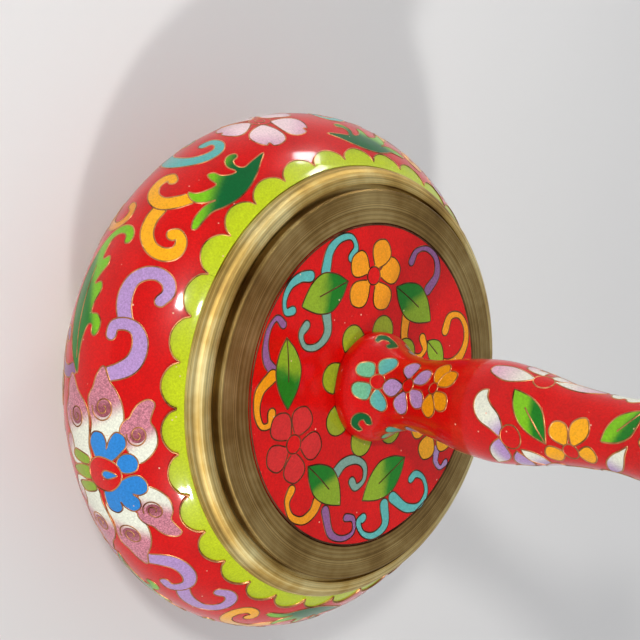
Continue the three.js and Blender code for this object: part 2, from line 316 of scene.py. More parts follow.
def fade(first, second, start, end):
    """The first colour before start, the second past end, and a soft change between them."""
    start, end = Vector(start), Vector(end)
    way = end - start

    def shade(x, y):
        t = eased(min(1, max(0, (Vector((x, y)) - start).dot(way) / way.length_squared)))
        return tuple(a + (b - a) * t for a, b in zip(first, second))

    return shade


# Charts: how a flat motif lies on a surface

class TurnedChart:
    """A turned surface. A place is (mm round at the widest, mm along its outline)."""

    def __init__(self, line, marks, reach):
        self.line = line
        self.marks = marks
        self.reach = reach

    def ring(self, mark):
        """Radius and height at a mark, and the outward normal's two parts."""
        marks, line = self.marks, self.line
        mark = min(max(mark, marks[0]), marks[-1])
        high = min(bisect_right(marks, mark), len(marks) - 1)
        low = high - 1
        share = (mark - marks[low]) / max(marks[high] - marks[low], 1e-9)
        r = line[low][0] + (line[high][0] - line[low][0]) * share
        z = line[low][1] + (line[high][1] - line[low][1]) * share
        before, after = line[max(low - 1, 0)], line[min(high + 1, len(line) - 1)]
        slope = Vector((after[0] - before[0], after[1] - before[1])).normalized()
        normal = Vector((slope.y, -slope.x))
        if normal.x < 0:
            normal = -normal
        return r, z, normal

    def place(self, u, v, lift):
        """Where a place of the chart is in space, lifted off the surface."""
        r, z, normal = self.ring(v)
        angle = u / self.reach
        r += normal.x * lift
        z += normal.y * lift
        return Vector((r * math.cos(angle), r * math.sin(angle), z)) * MM

    def normal(self, u, v):
        """The surface's outward normal at a place."""
        _, _, normal = self.ring(v)
        angle = u / self.reach
        return Vector((normal.x * math.cos(angle), normal.x * math.sin(angle), normal.y))

    def spot(self, degrees, along=0.0, mirror=1):
        """A motif's own frame, centred at an azimuth and a mark along the outline."""
        start = math.radians(degrees) * self.reach

        def place(x, y):
            r, _, _ = self.ring(along + y)
            return start + mirror * x / r * self.reach, along + y

        return place


class FlatChart:
    """A level face. A place is (x, y) in mm."""

    def __init__(self, height):
        self.height = height

    def place(self, u, v, lift):
        """Where a place of the chart is in space, lifted off the surface."""
        return Vector((u, v, self.height + lift)) * MM

    def normal(self, u, v):
        """The surface's outward normal, which is up everywhere."""
        return Vector((0, 0, 1))


# Enamel patterns

def divided(outline, step):
    """The outline with points added along its long edges."""
    out = []
    for a, b in zip(outline, outline[1:] + outline[:1]):
        count = max(1, math.ceil((b - a).length / step))
        out += [a.lerp(b, k / count) for k in range(count)]
    return out


def extent(points):
    """The box round some places: lowest and highest of each number."""
    return (min(p[0] for p in points), max(p[0] for p in points),
            min(p[1] for p in points), max(p[1] for p in points))


def apart(box, other):
    """Whether two boxes don't meet."""
    return box[0] > other[1] or box[1] < other[0] or box[2] > other[3] or box[3] < other[2]


class Pattern:
    """Enamel cells and the wires round them, drawn one over another on a chart."""

    def __init__(self, chart, grid):
        self.chart = chart
        self.grid = grid
        self.cells = []
        self.wires = []

    def cell(self, outline, shade, place, wired=True):
        """A closed field of enamel, with a wire round it. It lies above any earlier field that it meets."""
        outline = divided([Vector(p) for p in outline], self.grid)
        placed = [place(p.x, p.y) for p in outline]
        box = extent(placed)
        layer = 0
        for _, other, _, _, other_box, other_layer in self.cells:
            if other_layer >= layer and not apart(box, other_box):
                if any(inside(p, other) for p in placed) or any(inside(p, placed) for p in other):
                    layer = other_layer + 1
        self.cells.append((outline, placed, shade, place, box, layer))
        if wired:
            self.wire(outline, place, closed=True, layer=layer)

    def field(self, points, shade, place, step=0.4):
        """A cell whose outline runs smoothly through points."""
        self.cell(spline(points, step, True), shade, place)

    def wire(self, line, place, closed=False, layer=None):
        """A wire along a line, at its cell's level, hidden where a later cell covers it."""
        line = [place(p.x, p.y) for p in resampled(line, WIRE_STEP, closed)]
        if layer is None:
            layer = max((cell[5] for cell in self.cells if any(inside(p, cell[1]) for p in line)), default=0)
        self.wires.append((len(self.cells), line, closed, CELL_STEP * layer))

    def triangles(self, outline):
        """The outline filled with triangles, with points inside it for its shades."""
        left, right, low, high = extent(outline)
        flat_outline = [tuple(p) for p in outline]
        extra = []
        for i in range(1, int((right - left) / self.grid) + 1):
            for j in range(1, int((high - low) / self.grid) + 1):
                p = (left + i * self.grid + (j % 2) * self.grid / 2, low + j * self.grid)
                near = min((p[0] - q[0]) ** 2 + (p[1] - q[1]) ** 2 for q in flat_outline)
                if near > (self.grid * 0.45) ** 2 and inside(p, flat_outline):
                    extra.append(Vector(p))
        verts, _, faces, _, _, _ = delaunay_2d_cdt(
            [*outline, *extra], [], [list(range(len(outline)))], 1, 1e-5)
        return verts, [tuple(f) for f in faces]

    def cells_mesh(self, name):
        """One mesh of thin tiles let into the surface, with a colour at each point."""
        verts, faces, colours = [], [], []
        for outline, _, shade, place, _, layer in self.cells:
            points, triangles = self.triangles(outline)
            lift = CELL_LIFT + CELL_STEP * layer
            base = len(verts)
            for level in (lift, -CELL_DEPTH):
                for p in points:
                    verts.append(self.chart.place(*place(p.x, p.y), level))
                    colours.append(shade(p.x, p.y))
            count = len(points)
            edges = {}
            for a, b, c in triangles:
                corner = verts[base + a]
                turn = (verts[base + b] - corner).cross(verts[base + c] - corner)
                outward = self.chart.normal(*place(points[a].x, points[a].y))
                if turn.dot(outward) < 0:
                    b, c = c, b
                faces.append((base + a, base + b, base + c))
                faces.append((base + count + a, base + count + c, base + count + b))
                for edge in ((a, b), (b, c), (c, a)):
                    edges[edge] = True
            for a, b in edges:
                if (b, a) not in edges:
                    faces.append((base + b, base + a, base + count + a, base + count + b))
        mesh = built(name, verts, faces)
        layer = mesh.color_attributes.new("enamel", "FLOAT_COLOR", "POINT")
        for item, colour in zip(layer.data, colours):
            item.color = colour
        return finished(name, mesh, sharp=35)

    def shown_runs(self, first_cover, line, closed):
        """The stretches of a wire that no later cell covers."""
        box = extent(line)
        covers = [(b, placed) for _, placed, _, _, b, _ in self.cells[first_cover:] if not apart(box, b)]
        hidden = [any(b[0] < p[0] < b[1] and b[2] < p[1] < b[3] and inside(p, placed)
                      for b, placed in covers) for p in line]
        if not any(hidden):
            return [(line, closed)]
        if closed:
            start = hidden.index(True)
            line = line[start:] + line[:start + 1]
            hidden = hidden[start:] + hidden[:start + 1]
        runs = []
        for gone, stretch in itertools.groupby(zip(line, hidden), key=lambda pair: pair[1]):
            run = [p for p, _ in stretch]
            if not gone and len(run) > 2:
                runs.append((run, False))
        return runs

    def wires_mesh(self, name):
        """One mesh of flattened wires, standing a little out of the enamel."""
        verts, faces = [], []
        for first_cover, line, closed, lift in self.wires:
            for run, is_closed in self.shown_runs(first_cover, line, closed):
                self.sweep(run, is_closed, lift, verts, faces)
        return finished(name, built(name, verts, faces), sharp=80)

    def sweep(self, run, closed, lift, verts, faces):
        """Adds one stretch of wire to the points and faces."""
        shoulder, top = lift + WIRE_STANDS * 0.75, lift + WIRE_STANDS
        section = ((-1.0, WIRE_FOOT), (-0.75, shoulder), (0.0, top), (0.75, shoulder), (1.0, WIRE_FOOT))
        base = len(verts)
        centres = [self.chart.place(u, v, 0) for u, v in run]
        count = len(run)
        for i, (u, v) in enumerate(run):
            if closed:
                ahead = centres[(i + 1) % count] - centres[i - 1]
            else:
                ahead = centres[min(i + 1, count - 1)] - centres[max(i - 1, 0)]
            normal = self.chart.normal(u, v)
            side = ahead.cross(normal)
            side = side.normalized() if side.length > 1e-12 else Vector((1, 0, 0))
            for across, up in section:
                verts.append(centres[i] + side * (across * WIRE_HALF_WIDTH * MM) + normal * (up * MM))
        size = len(section)
        for i in range(count if closed else count - 1):
            a, b = base + i * size, base + (i + 1) % count * size
            for k in range(size):
                n = (k + 1) % size
                faces.append((a + k, a + n, b + n, b + k))
        if not closed:
            faces.append(tuple(base + k for k in reversed(range(size))))
            faces.append(tuple(base + (count - 1) * size + k for k in range(size)))


# Meshes

def built(name, verts, faces):
    """A mesh of points and faces."""
    mesh = bpy.data.meshes.new(name)
    mesh.from_pydata(verts, [], faces)
    return mesh


def linked(name, data):
    """A new object in the scene."""
    piece = bpy.data.objects.new(name, data)
    bpy.context.scene.collection.objects.link(piece)
    return piece


def finished(name, mesh, sharp=35):
    """An object of a mesh, smooth but for edges sharper than some degrees."""
    b = bmesh.new()
    b.from_mesh(mesh)
    for face in b.faces:
        face.smooth = True
    for edge in b.edges:
        if len(edge.link_faces) == 2 and edge.calc_face_angle(0) > math.radians(sharp):
            edge.smooth = False
    b.to_mesh(mesh)
    b.free()
    return linked(name, mesh)


def cad_outline(node):
    """A turned CAD node's outline [(radius, height), ...] in mm, anticlockwise, and whether it closes."""
    b = bmesh.new()
    b.from_mesh(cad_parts[node].data)
    bmesh.ops.remove_doubles(b, verts=b.verts, dist=1e-6)
    near = {}
    for e in b.edges:
        if all(abs(v.co.x) < 1e-6 and v.co.y < 1e-7 for v in e.verts):
            for v, w in (e.verts, reversed(e.verts)):
                near.setdefault(v, []).append(w)
    ends = [v for v, others in near.items() if len(others) == 1]
    start = min(ends, key=lambda v: v.co.z) if ends else min(near, key=lambda v: (v.co.z, -v.co.y))
    path, last = [start], None
    while True:
        step = [w for w in near[path[-1]] if w is not last]
        if not step or (step[0] is start and len(path) > 2):
            break
        last = path[-1]
        path.append(step[0])
        if path[-1] is start:
            path.pop()
            break
    line = [(-v.co.y / MM, v.co.z / MM) for v in path]
    b.free()
    area = sum(a[0] * c[1] - c[0] * a[1] for a, c in zip(line, line[1:] + line[:1]))
    if area < 0:
        line = [line[0], *reversed(line[1:])] if not ends else list(reversed(line))
    return line, not ends


def rounded(line, closed, bevel=0.2):
    """The outline with its round stretches made finer and its corners slightly rounded."""
    points = [Vector(p) for p in line]
    count = len(points)

    def bend(i):
        if not closed and i in (0, count - 1):
            return 180.0
        before = points[i] - points[i - 1]
        after = points[(i + 1) % count] - points[i]
        return math.degrees(before.angle(after))

    corners = [bend(i) >= CORNER_BEND for i in range(count)]
    if closed:
        first = corners.index(True)
        points = points[first:] + points[:first + 1]
        corners = corners[first:] + corners[:first + 1]
    stretches, run = [], [points[0]]
    for p, corner in zip(points[1:], corners[1:]):
        run.append(p)
        if corner:
            stretches.append(spline(run, LATHE_STEP) if len(run) > 2 else run)
            run = [p]
    line = []
    for i, stretch in enumerate(stretches):
        line += stretch[1:-1] if closed or i else stretch[:-1]
        corner = stretch[-1]
        if not closed and i + 1 == len(stretches):
            line.append(corner)
            continue
        back = stretch[-2] - corner
        ahead = stretches[(i + 1) % len(stretches)][1] - corner
        b1 = min(bevel, back.length * 0.4)
        b2 = min(bevel, ahead.length * 0.4)
        back.normalize()
        ahead.normalize()
        p1, p2 = corner + back * b1, corner + ahead * b2
        line += [corner + back * b1 * 1.9, p1, (p1 + 2 * corner + p2) / 4, p2, corner + ahead * b2 * 1.9]
    return [(max(0.0, p.x), p.y) for p in line]


def lathe(name, line, closed, paint=None, sides=192):
    """A turned piece from an outline. Paint gives a material number for a radius and height."""
    verts, faces, rings, numbers = [], [], [], []
    for r, z in line:
        if r < 1e-6:
            rings.append([len(verts)] * sides)
            verts.append(Vector((0, 0, z)) * MM)
        else:
            rings.append(list(range(len(verts), len(verts) + sides)))
            for k in range(sides):
                angle = 2 * math.pi * k / sides
                verts.append(Vector((r * math.cos(angle), r * math.sin(angle), z)) * MM)
    pairs = list(zip(range(len(line)), range(1, len(line))))
    if closed:
        pairs.append((len(line) - 1, 0))
    for i, j in pairs:
        number = paint((line[i][0] + line[j][0]) / 2, (line[i][1] + line[j][1]) / 2) if paint else 0
        for k in range(sides):
            n = (k + 1) % sides
            corners = [rings[i][k], rings[i][n], rings[j][n], rings[j][k]]
            corners = list(dict.fromkeys(corners))
            if len(corners) > 2:
                faces.append(corners)
                numbers.append(number)
    mesh = built(name, verts, faces)
    for polygon, number in zip(mesh.polygons, numbers):
        polygon.material_index = number
    b = bmesh.new()
    b.from_mesh(mesh)
    bmesh.ops.recalc_face_normals(b, faces=b.faces)
    b.to_mesh(mesh)
    b.free()
    return finished(name, mesh)


# Materials

def material(name):
    """A new material, its node tree and its shader."""
    made = bpy.data.materials.new(name)
    made.use_nodes = True
    return made, made.node_tree, made.node_tree.nodes["Principled BSDF"]


def plug(tree, target, **inputs):
    """Sets a node's inputs from values or sockets: by name with _ for a space, or by place as i0."""
    for key, value in inputs.items():
        socket = target.inputs[int(key[1:]) if key[1:].isdigit() else key.replace("_", " ")]
        if isinstance(value, bpy.types.NodeSocket):
            tree.links.new(value, socket)
        else:
            socket.default_value = value


def node(tree, kind, settings=None, **inputs):
    """A new shader node with its settings and inputs."""
    made = tree.nodes.new(kind)
    for key, value in (settings or {}).items():
        setattr(made, key, value)
    plug(tree, made, **inputs)
    return made


def place_in_object(tree):
    """The place on the object that a material is asked for."""
    return tree.nodes.new("ShaderNodeTexCoord").outputs["Object"]


def noise(tree, where, scale, detail=2.0, roughness=0.5, dimensions="3D"):
    """A noise's factor at a place."""
    place = {"W" if dimensions == "1D" else "Vector": where}
    return node(tree, "ShaderNodeTexNoise", {"noise_dimensions": dimensions},
                Scale=scale, Detail=detail, Roughness=roughness, **place).outputs[0]


def ramp(tree, value, *stops):
    """Colours along a value: stops are (place, colour)."""
    made = tree.nodes.new("ShaderNodeValToRGB")
    elements = made.color_ramp.elements
    while len(elements) < len(stops):
        elements.new(0.5)
    for element, (place, colour) in zip(elements, stops):
        element.position = place
        element.color = colour
    tree.links.new(value, made.inputs[0])
    return made.outputs[0]


def spread(tree, value, low, high, out_low, out_high):
    """A value moved from one range to another."""
    return node(tree, "ShaderNodeMapRange", None,
                i0=value, i1=low, i2=high, i3=out_low, i4=out_high).outputs[0]


def multiplied(tree, colour, factor):
    """A colour times a grey factor."""
    return node(tree, "ShaderNodeVectorMath", {"operation": "SCALE"}, i0=colour, Scale=factor).outputs[0]


def calculated(tree, operation, *values):
    """A sum or product of values."""
    inputs = {f"i{k}": value for k, value in enumerate(values)}
    return node(tree, "ShaderNodeMath", {"operation": operation}, **inputs).outputs[0]


def bump(tree, height, strength, distance, settings=None, **inputs):
    """A normal bumped by a height."""
    return node(tree, "ShaderNodeBump", settings,
                Height=height, Strength=strength, Distance=distance, **inputs).outputs[0]


def enamel(name, colour=None):
    """Polished glass enamel: fine grain, soft cloudiness, pin holes, and a wet gloss over it. Without
    a colour of its own it has the mesh's, with darker grains where that is stippled."""
    made, tree, shader = material(name)
    where = place_in_object(tree)
    grain = spread(tree, noise(tree, where, 2400, 3, 0.7), 0.3, 0.7, 0.8, 1.16)
    cloud = spread(tree, noise(tree, where, 90, 2), 0.3, 0.7, 0.95, 1.04)
    if colour is None:
        written = node(tree, "ShaderNodeVertexColor", {"layer_name": "enamel"}).outputs
        grains = spread(tree, noise(tree, where, 2600, 3, 0.8), 0.44, 0.56, 0.0, 1.0)
        stipple = spread(tree, written["Alpha"], 0.0, 1.0, 1.0, 0.0)
        darker = spread(tree, calculated(tree, "MULTIPLY", grains, stipple), 0.0, 1.0, 1.0, 0.58)
        source = multiplied(tree, written["Color"], darker)
    else:
        deep = tuple(c * 0.88 for c in colour[:3]) + (1.0,)
        source = ramp(tree, noise(tree, where, 240, 3), (0.25, deep), (0.6, colour))
    shade = multiplied(tree, multiplied(tree, source, grain), cloud)
    dots = node(tree, "ShaderNodeTexVoronoi", {"feature": "F1"}, Vector=where, Scale=420.0, Randomness=1.0)
    hole = spread(tree, dots.outputs["Distance"], 0.05, 0.10, 1.0, 0.0)
    rare = spread(tree, noise(tree, where, 300, 1), 0.56, 0.6, 0.0, 1.0)
    holes = calculated(tree, "MULTIPLY", hole, rare)
    pits = node(tree, "ShaderNodeMix", {"data_type": "RGBA"}, Factor=holes, i6=shade, i7=srgb(236, 190, 160))
    waves = bump(tree, noise(tree, where, 130, 2), 0.10, 0.0004)
    plug(tree, shader, Base_Color=pits.outputs[2], Roughness=0.32, Specular_IOR_Level=0.1,
         Normal=bump(tree, holes, 0.5, 0.00006, {"invert": True}, Normal=waves),
         Coat_Weight=0.8, Coat_Roughness=0.08, Coat_IOR=1.29, Coat_Normal=waves)
    return made


def turned_brass(name, dark, middle, light, rough):
    """Turned brass: fine lines that follow the lathe, broad bands, and patches of patina."""
    made, tree, shader = material(name)
    where = place_in_object(tree)
    parts = node(tree, "ShaderNodeSeparateXYZ", None, i0=where).outputs
    level = node(tree, "ShaderNodeCombineXYZ", None, i0=parts[0], i1=parts[1])
    radius = node(tree, "ShaderNodeVectorMath", {"operation": "LENGTH"}, i0=level.outputs[0])
    track = calculated(tree, "ADD", radius.outputs["Value"], parts[2])
    lines = noise(tree, track, 3400, 4, 0.75, "1D")
    bands = noise(tree, track, 1400, 4, 0.75, "1D")
    patina = spread(tree, noise(tree, where, 55, 4, 0.6), 0.2, 0.8, 0.05, 0.5)
    mixed = calculated(tree, "MULTIPLY_ADD", bands, 0.45, patina)
    tone = ramp(tree, mixed, (0.28, dark), (0.46, middle), (0.66, light))
    tangent = node(tree, "ShaderNodeTangent", {"direction_type": "RADIAL", "axis": "Z"})
    plug(tree, shader, Metallic=1.0, Anisotropic=0.5, Tangent=tangent.outputs[0],
         Base_Color=multiplied(tree, tone, spread(tree, lines, 0.3, 0.7, 0.58, 1.28)),
         Roughness=spread(tree, lines, 0.25, 0.75, rough + 0.08, rough - 0.08),
         Normal=bump(tree, lines, 0.6, 0.00006))
    return made


def cast_gilt(name, bright, worn, rough=0.34):
    """Fire-gilt bronze: warm gold with worn patches at random, and a fine cast grain."""
    made, tree, shader = material(name)
    where = place_in_object(tree)
    patches = noise(tree, where, 170, 5, 0.65)
    grain = noise(tree, where, 1500, 4, 0.7)
    tone = ramp(tree, patches, (0.32, worn), (0.56, bright))
    plug(tree, shader, Metallic=1.0,
         Base_Color=multiplied(tree, tone, spread(tree, grain, 0.3, 0.7, 0.84, 1.08)),
         Roughness=spread(tree, patches, 0.25, 0.75, rough + 0.14, rough - 0.1),
         Normal=bump(tree, grain, 0.35, 0.00008))
    return made


red_enamel = enamel("red_enamel", RED)
cell_enamel = enamel("cell_enamel")
wire_metal = cast_gilt("cloison_wire", srgb(214, 150, 98), srgb(98, 54, 28), 0.38)
# The disc's wires: a darker copy of the cloison wire, with painted dark reflections in its colour.
reflection_darkened_wire = cast_gilt("reflection_darkened_disc_wire", srgb(118, 80, 54), srgb(56, 34, 20), 0.5)
ring_brass = turned_brass("ring_brass", srgb(138, 102, 52), srgb(198, 164, 90), srgb(240, 224, 162), 0.5)
# The lid plate's brass: a darker copy of the ring's, with painted shade and painted dark reflections in its
# colour.
shade_darkened_plate_brass = turned_brass("shade_darkened_plate_brass", srgb(104, 76, 40), srgb(154, 124, 70), srgb(202, 176, 116), 0.46)
plain_brass = turned_brass("plain_brass", srgb(130, 98, 52), srgb(180, 146, 84), srgb(216, 188, 124), 0.42)
bowl_copper = turned_brass("bowl_copper", srgb(96, 52, 34), srgb(140, 84, 58), srgb(172, 112, 80), 0.45)
gilt = cast_gilt("gilt", srgb(214, 182, 108), srgb(146, 112, 58))


def dress(piece, body, slot, nodes, *materials):
    """Gives a piece its materials and its body, and hides the CAD nodes that it stands for. The record slot
    is not used.
    """
    for made in materials:
        piece.data.materials.append(made)
    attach(piece, body)
    if nodes:
        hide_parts(*nodes)
    return piece


# Turned pieces

def turned_piece(name, node_name, body, slot, *materials, bevel=0.2, sides=192):
    """A fine turned piece in place of a turned CAD node."""
    line, closed = cad_outline(node_name)
    piece = lathe(name, rounded(line, closed, bevel), closed, sides=sides)
    return dress(piece, body, slot, [node_name], *materials)


def bowl_lines():
    """The bowl's fine outline, a wire's height inside the CAD's, and its enamelled stretch."""
    line, _ = cad_outline("bowl_shell")
    belly = max(line)[0]
    edge_height = max(p[1] for p in line)
    mouth = max(p[0] for p in line if p[1] > edge_height - 0.01)
    belly_height = next(p[1] for p in line if p[0] > belly - 0.01)
    floor = min(p[1] for p in line)
    floor_radius = max(p[0] for p in line if p[1] < floor + 0.01)
    shoulder = (edge_height - belly_height) / math.sqrt(1 - (mouth / belly) ** 2)
    depth = (belly_height - floor) / math.sqrt(1 - (floor_radius / belly) ** 2)
    mouth_angle = math.acos(mouth / belly)
    floor_angle = math.acos(floor_radius / belly)
    steps = 60
    outer = arc(belly_height, belly, depth, [-floor_angle * (1 - i / steps) for i in range(steps + 1)])
    outer += arc(belly_height, belly, shoulder, [mouth_angle * i / steps for i in range(1, steps + 1)])
    inset = []
    for i, (r, z) in enumerate(outer):
        before, after = outer[max(i - 1, 0)], outer[min(i + 1, len(outer) - 1)]
        way = Vector((after[0] - before[0], after[1] - before[1])).normalized()
        at_end = i in (0, len(outer) - 1)
        inset.append((r - way.y * WIRE_ROOM, z if at_end else z + way.x * WIRE_ROOM))
    inner = line[line.index(max(line, key=lambda p: (p[1], p[0]))) + 1:]
    return inset, [(0.0, floor), *inset, *inner]


enamelled, bowl_outline = bowl_lines()


def bowl_paint(r, z):
    """Red enamel along the enamelled stretch, and copper elsewhere."""
    return 0 if any(abs(r - a) < 0.6 and abs(z - b) < 0.6 for a, b in enamelled) else 1


dress(lathe("bowl", bowl_outline, False, bowl_paint, sides=256),
      "burner", "red_enamel", ["bowl_shell"], red_enamel, bowl_copper)

turned_piece("foot", "foot_ring", "burner", "brass", plain_brass)
ring_line, _ = cad_outline("mouth_ring")
ring_edge = max(ring_line)[0]
ring_foot = min(z for r, z in ring_line if r > ring_edge - 0.01)
ring_line = [(r, z - RING_FOOT_DROP) if abs(z - ring_foot) < 0.01 else (r, z) for r, z in ring_line]
dress(lathe("mouth_moulding", rounded(ring_line, True, bevel=0.12), True, sides=256), "burner", "brass",
      ["mouth_ring"], ring_brass)
turned_piece("ash_liner", "ash_pan", "burner", "brass", plain_brass)
# The plate takes the darker brass, whose colour carries painted shade.
turned_piece("plate", "lid_plate", "lid", "brass", shade_darkened_plate_brass, sides=256)
turned_piece("disc", "lid_disc", "lid", "red_enamel", red_enamel, bevel=0.15)
turned_piece("stem_body", "stem", "lid", "red_enamel", red_enamel)
turned_piece("smoke_tube", "tie_tube", "lid", "brass", plain_brass, sides=64)
turned_piece("washer", "lid_washer", "lid", "brass", plain_brass, sides=96)
turned_piece("ferrule", "stem_ferrule", "lid", "gilt", gilt, sides=128)
turned_piece("socket", "head_socket", "head", "gilt", gilt, sides=128)
turned_piece("bud", "bud_finial", "head", "gilt", gilt, sides=96)


# The gilt lotus head

def petal_piece(name, node_name, foot, turn, root, reach, rise, share, curl, cup):
    """A cast petal: a round-ended leaf with a thick rolled rim and a low rib down its back."""
    rows, columns = 30, 24
    width = 2 * root * math.tan(math.pi / PETALS) * share

    def middle(t):
        return Vector((root + reach * t ** curl, 0, foot + rise * t))

    def half_width(t):
        opening = math.sin(math.pi / 2 * min(1, t / PETAL_FULL_AT))
        widening = PETAL_ROOT_SHARE + (1 - PETAL_ROOT_SHARE) * opening
        return width / 2 * max(0.1, widening * math.sqrt(max(0.0, 1 - t ** PETAL_TIP_POWER)))

    verts = []
    spin = Matrix.Rotation(math.radians(turn), 3, "Z")
    for side in (1, -1):
        for i in range(rows + 1):
            t = math.sin(math.pi / 2 * i / rows)
            ahead = (middle(min(1, t + 0.01)) - middle(max(0, t - 0.01))).normalized()
            outward = Vector((ahead.z, 0, -ahead.x))
            for j in range(columns + 1):
                s = math.sin(math.pi / 2 * (2 * j / columns - 1))
                across = s * half_width(t)
                border = max(abs(s), t ** 3)
                rolled = (border - PETAL_RIM_FROM) / (1 - PETAL_RIM_FROM)
                rim = math.sin(math.pi * min(1, max(0, rolled))) * PETAL_RIM
                rib = PETAL_RIB * math.exp(-(s / PETAL_RIB_SPREAD) ** 2) * (1 - t) if side > 0 else 0.0
                half = PETAL_THICKNESS / 2 * (0.78 if border < 0.98 else 0.5) + rim / 2 + rib
                lift = -cup * (across / (width / 2)) ** 2 + side * half
                verts.append(spin @ (middle(t) + outward * lift + Vector((0, across, 0))) * MM)
    size = (rows + 1) * (columns + 1)

    def at(side, i, j):
        return side * size + i * (columns + 1) + j

    faces = []
    for i in range(rows):
        for j in range(columns):
            faces.append((at(0, i, j), at(0, i, j + 1), at(0, i + 1, j + 1), at(0, i + 1, j)))
            faces.append((at(1, i, j), at(1, i + 1, j), at(1, i + 1, j + 1), at(1, i, j + 1)))
        faces.append((at(0, i, 0), at(0, i + 1, 0), at(1, i + 1, 0), at(1, i, 0)))
        faces.append((at(0, i, columns), at(1, i, columns), at(1, i + 1, columns), at(0, i + 1, columns)))
    for j in range(columns):
        faces.append((at(0, 0, j), at(1, 0, j), at(1, 0, j + 1), at(0, 0, j + 1)))
        faces.append((at(0, rows, j), at(0, rows, j + 1), at(1, rows, j + 1), at(1, rows, j)))
    dress(finished(name, built(name, verts, faces), sharp=60), "head", "gilt", [node_name], gilt)


def pierced_dome_piece():
    """The smoke dome with its two rows of round holes, and a fine bead round its foot."""
    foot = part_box("pierced_dome")[0].z / MM
    centre = foot + DOME_FOOT_WALL
    inner = DOME_RADIUS - DOME_WALL
    outer_top = math.acos(DOME_PEG_HOLE / DOME_RADIUS)
    inner_top = math.acos(DOME_PEG_HOLE / inner)
    line = [(inner, foot), (DOME_RADIUS - 0.15, foot), (DOME_RADIUS, foot + 0.15),
            (DOME_RADIUS, foot + 0.55), (DOME_RADIUS - 0.2, foot + 0.75), (DOME_RADIUS - 0.2, centre - 0.3)]
    line += arc(centre, DOME_RADIUS, DOME_RADIUS, [outer_top * k / 40 for k in range(41)])
    line += arc(centre, inner, inner, [inner_top * (1 - k / 40) for k in range(41)])
    shell = lathe("smoke_dome", line, True, sides=160)
    drills = bmesh.new()
    for radius, tilt, first in DOME_ROWS:
        for k in range(DOME_ROW_HOLES):
            way = toward(first + 360 / DOME_ROW_HOLES * k, tilt)
            place = Matrix.Translation((Vector((0, 0, centre)) + way * DOME_RADIUS) * MM)
            matrix = place @ way.to_track_quat("Z", "Y").to_matrix().to_4x4()
            bmesh.ops.create_cone(drills, cap_ends=True, segments=32, radius1=radius * MM,
                                  radius2=radius * MM, depth=DOME_RADIUS * 0.9 * MM, matrix=matrix)
    mesh = bpy.data.meshes.new("dome_drills")
    drills.to_mesh(mesh)
    drills.free()
    cutter = linked("dome_drills", mesh)
    cut = shell.modifiers.new("holes", "BOOLEAN")
    cut.operation = "DIFFERENCE"
    cut.solver = "EXACT"
    cut.object = cutter
    bpy.context.view_layer.update()
    pierced = bpy.data.meshes.new_from_object(shell.evaluated_get(bpy.context.evaluated_depsgraph_get()))
    for unwanted in (shell, cutter):
        bpy.data.objects.remove(unwanted)
    dress(finished("smoke_dome", pierced, sharp=40), "head", "gilt", ["pierced_dome"], gilt)


SOCKET_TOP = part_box("head_socket")[1].z / MM
for index in range(PETALS):
    turn = 360 / PETALS * index
    petal_piece(f"outer_lotus_petal_{index + 1}", f"outer_petal_{index + 1}",
                SOCKET_TOP - OUTER_PETAL_DROP - CALYX_WALL, turn, **OUTER_PETAL)
    petal_piece(f"inner_lotus_petal_{index + 1}", f"inner_petal_{index + 1}",
                SOCKET_TOP + SEAT_GAP, turn + 180 / PETALS, **INNER_PETAL)
pierced_dome_piece()
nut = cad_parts["lid_nut"]
nut.data.materials.clear()
nut.data.materials.append(plain_brass)
edge = nut.modifiers.new("edges", "BEVEL")
edge.width = 0.15 * MM
edge.segments = 2
edge.limit_method = "ANGLE"


# Motifs

def curl(pattern, place, colour, points, widths, **ends):
    """A scroll: a ribbon with a rolled end."""
    pattern.cell(band(points, widths, **ends), flat(colour), place)


def two_tone_leaf(pattern, place, base, tip, width, first=GREEN, second=LEAF_LIME, lean=0.0, slant=75):
    """A leaf whose first green turns to the second across it, or along it where slant is small."""
    base, tip = Vector(base), Vector(tip)
    along = (tip - base).normalized()
    side = Vector((-along.y, along.x))
    way = along * math.cos(math.radians(slant)) - side * math.sin(math.radians(slant))
    middle = base.lerp(tip, 0.48) + side * lean
    pattern.cell(leaf(base, tip, width, lean),
                 fade(first, second, middle - way * width * 0.13, middle + way * width * 0.13), place)
    vein = [base.lerp(tip, t) + side * lean * 4 * t * (1 - t) for t in (0.02, 0.2, 0.4, 0.62)]
    pattern.wire(spline(vein, 0.4), place)


def flower(pattern, place, heart, petals, size, shade, heart_radius):
    """Petals round a red heart: each reaches from it to half a size past the petal's own place."""
    heart = Vector(heart)
    for x, y in petals:
        petal = Vector((x, y))
        out = (petal - heart).normalized()
        pattern.cell(egg(heart + out * heart_radius * 0.8, petal + out * size[0] / 2, size[1]), shade, place)
    pattern.cell(circle(heart, heart_radius, 20), flat(RED), place)


def ring_of_petals(heart, reach, first):
    """Five petals' middles at equal angles round a heart."""
    return [(heart[0] + reach * math.cos(math.radians(first + 72 * k)),
             heart[1] + reach * math.sin(math.radians(first + 72 * k))) for k in range(5)]


def mirrored(points, axis):
    """Points mirrored across the line x = axis, in the other order so that they turn the same way."""
    return [(2 * axis - x, y) for x, y in reversed(points)]


# The bowl's pattern. Each motif has its own frame: x mm round, y mm down from the mouth's edge.
# The lotus's middle line stands off its frame's, where the bowl has the lotus's radius.

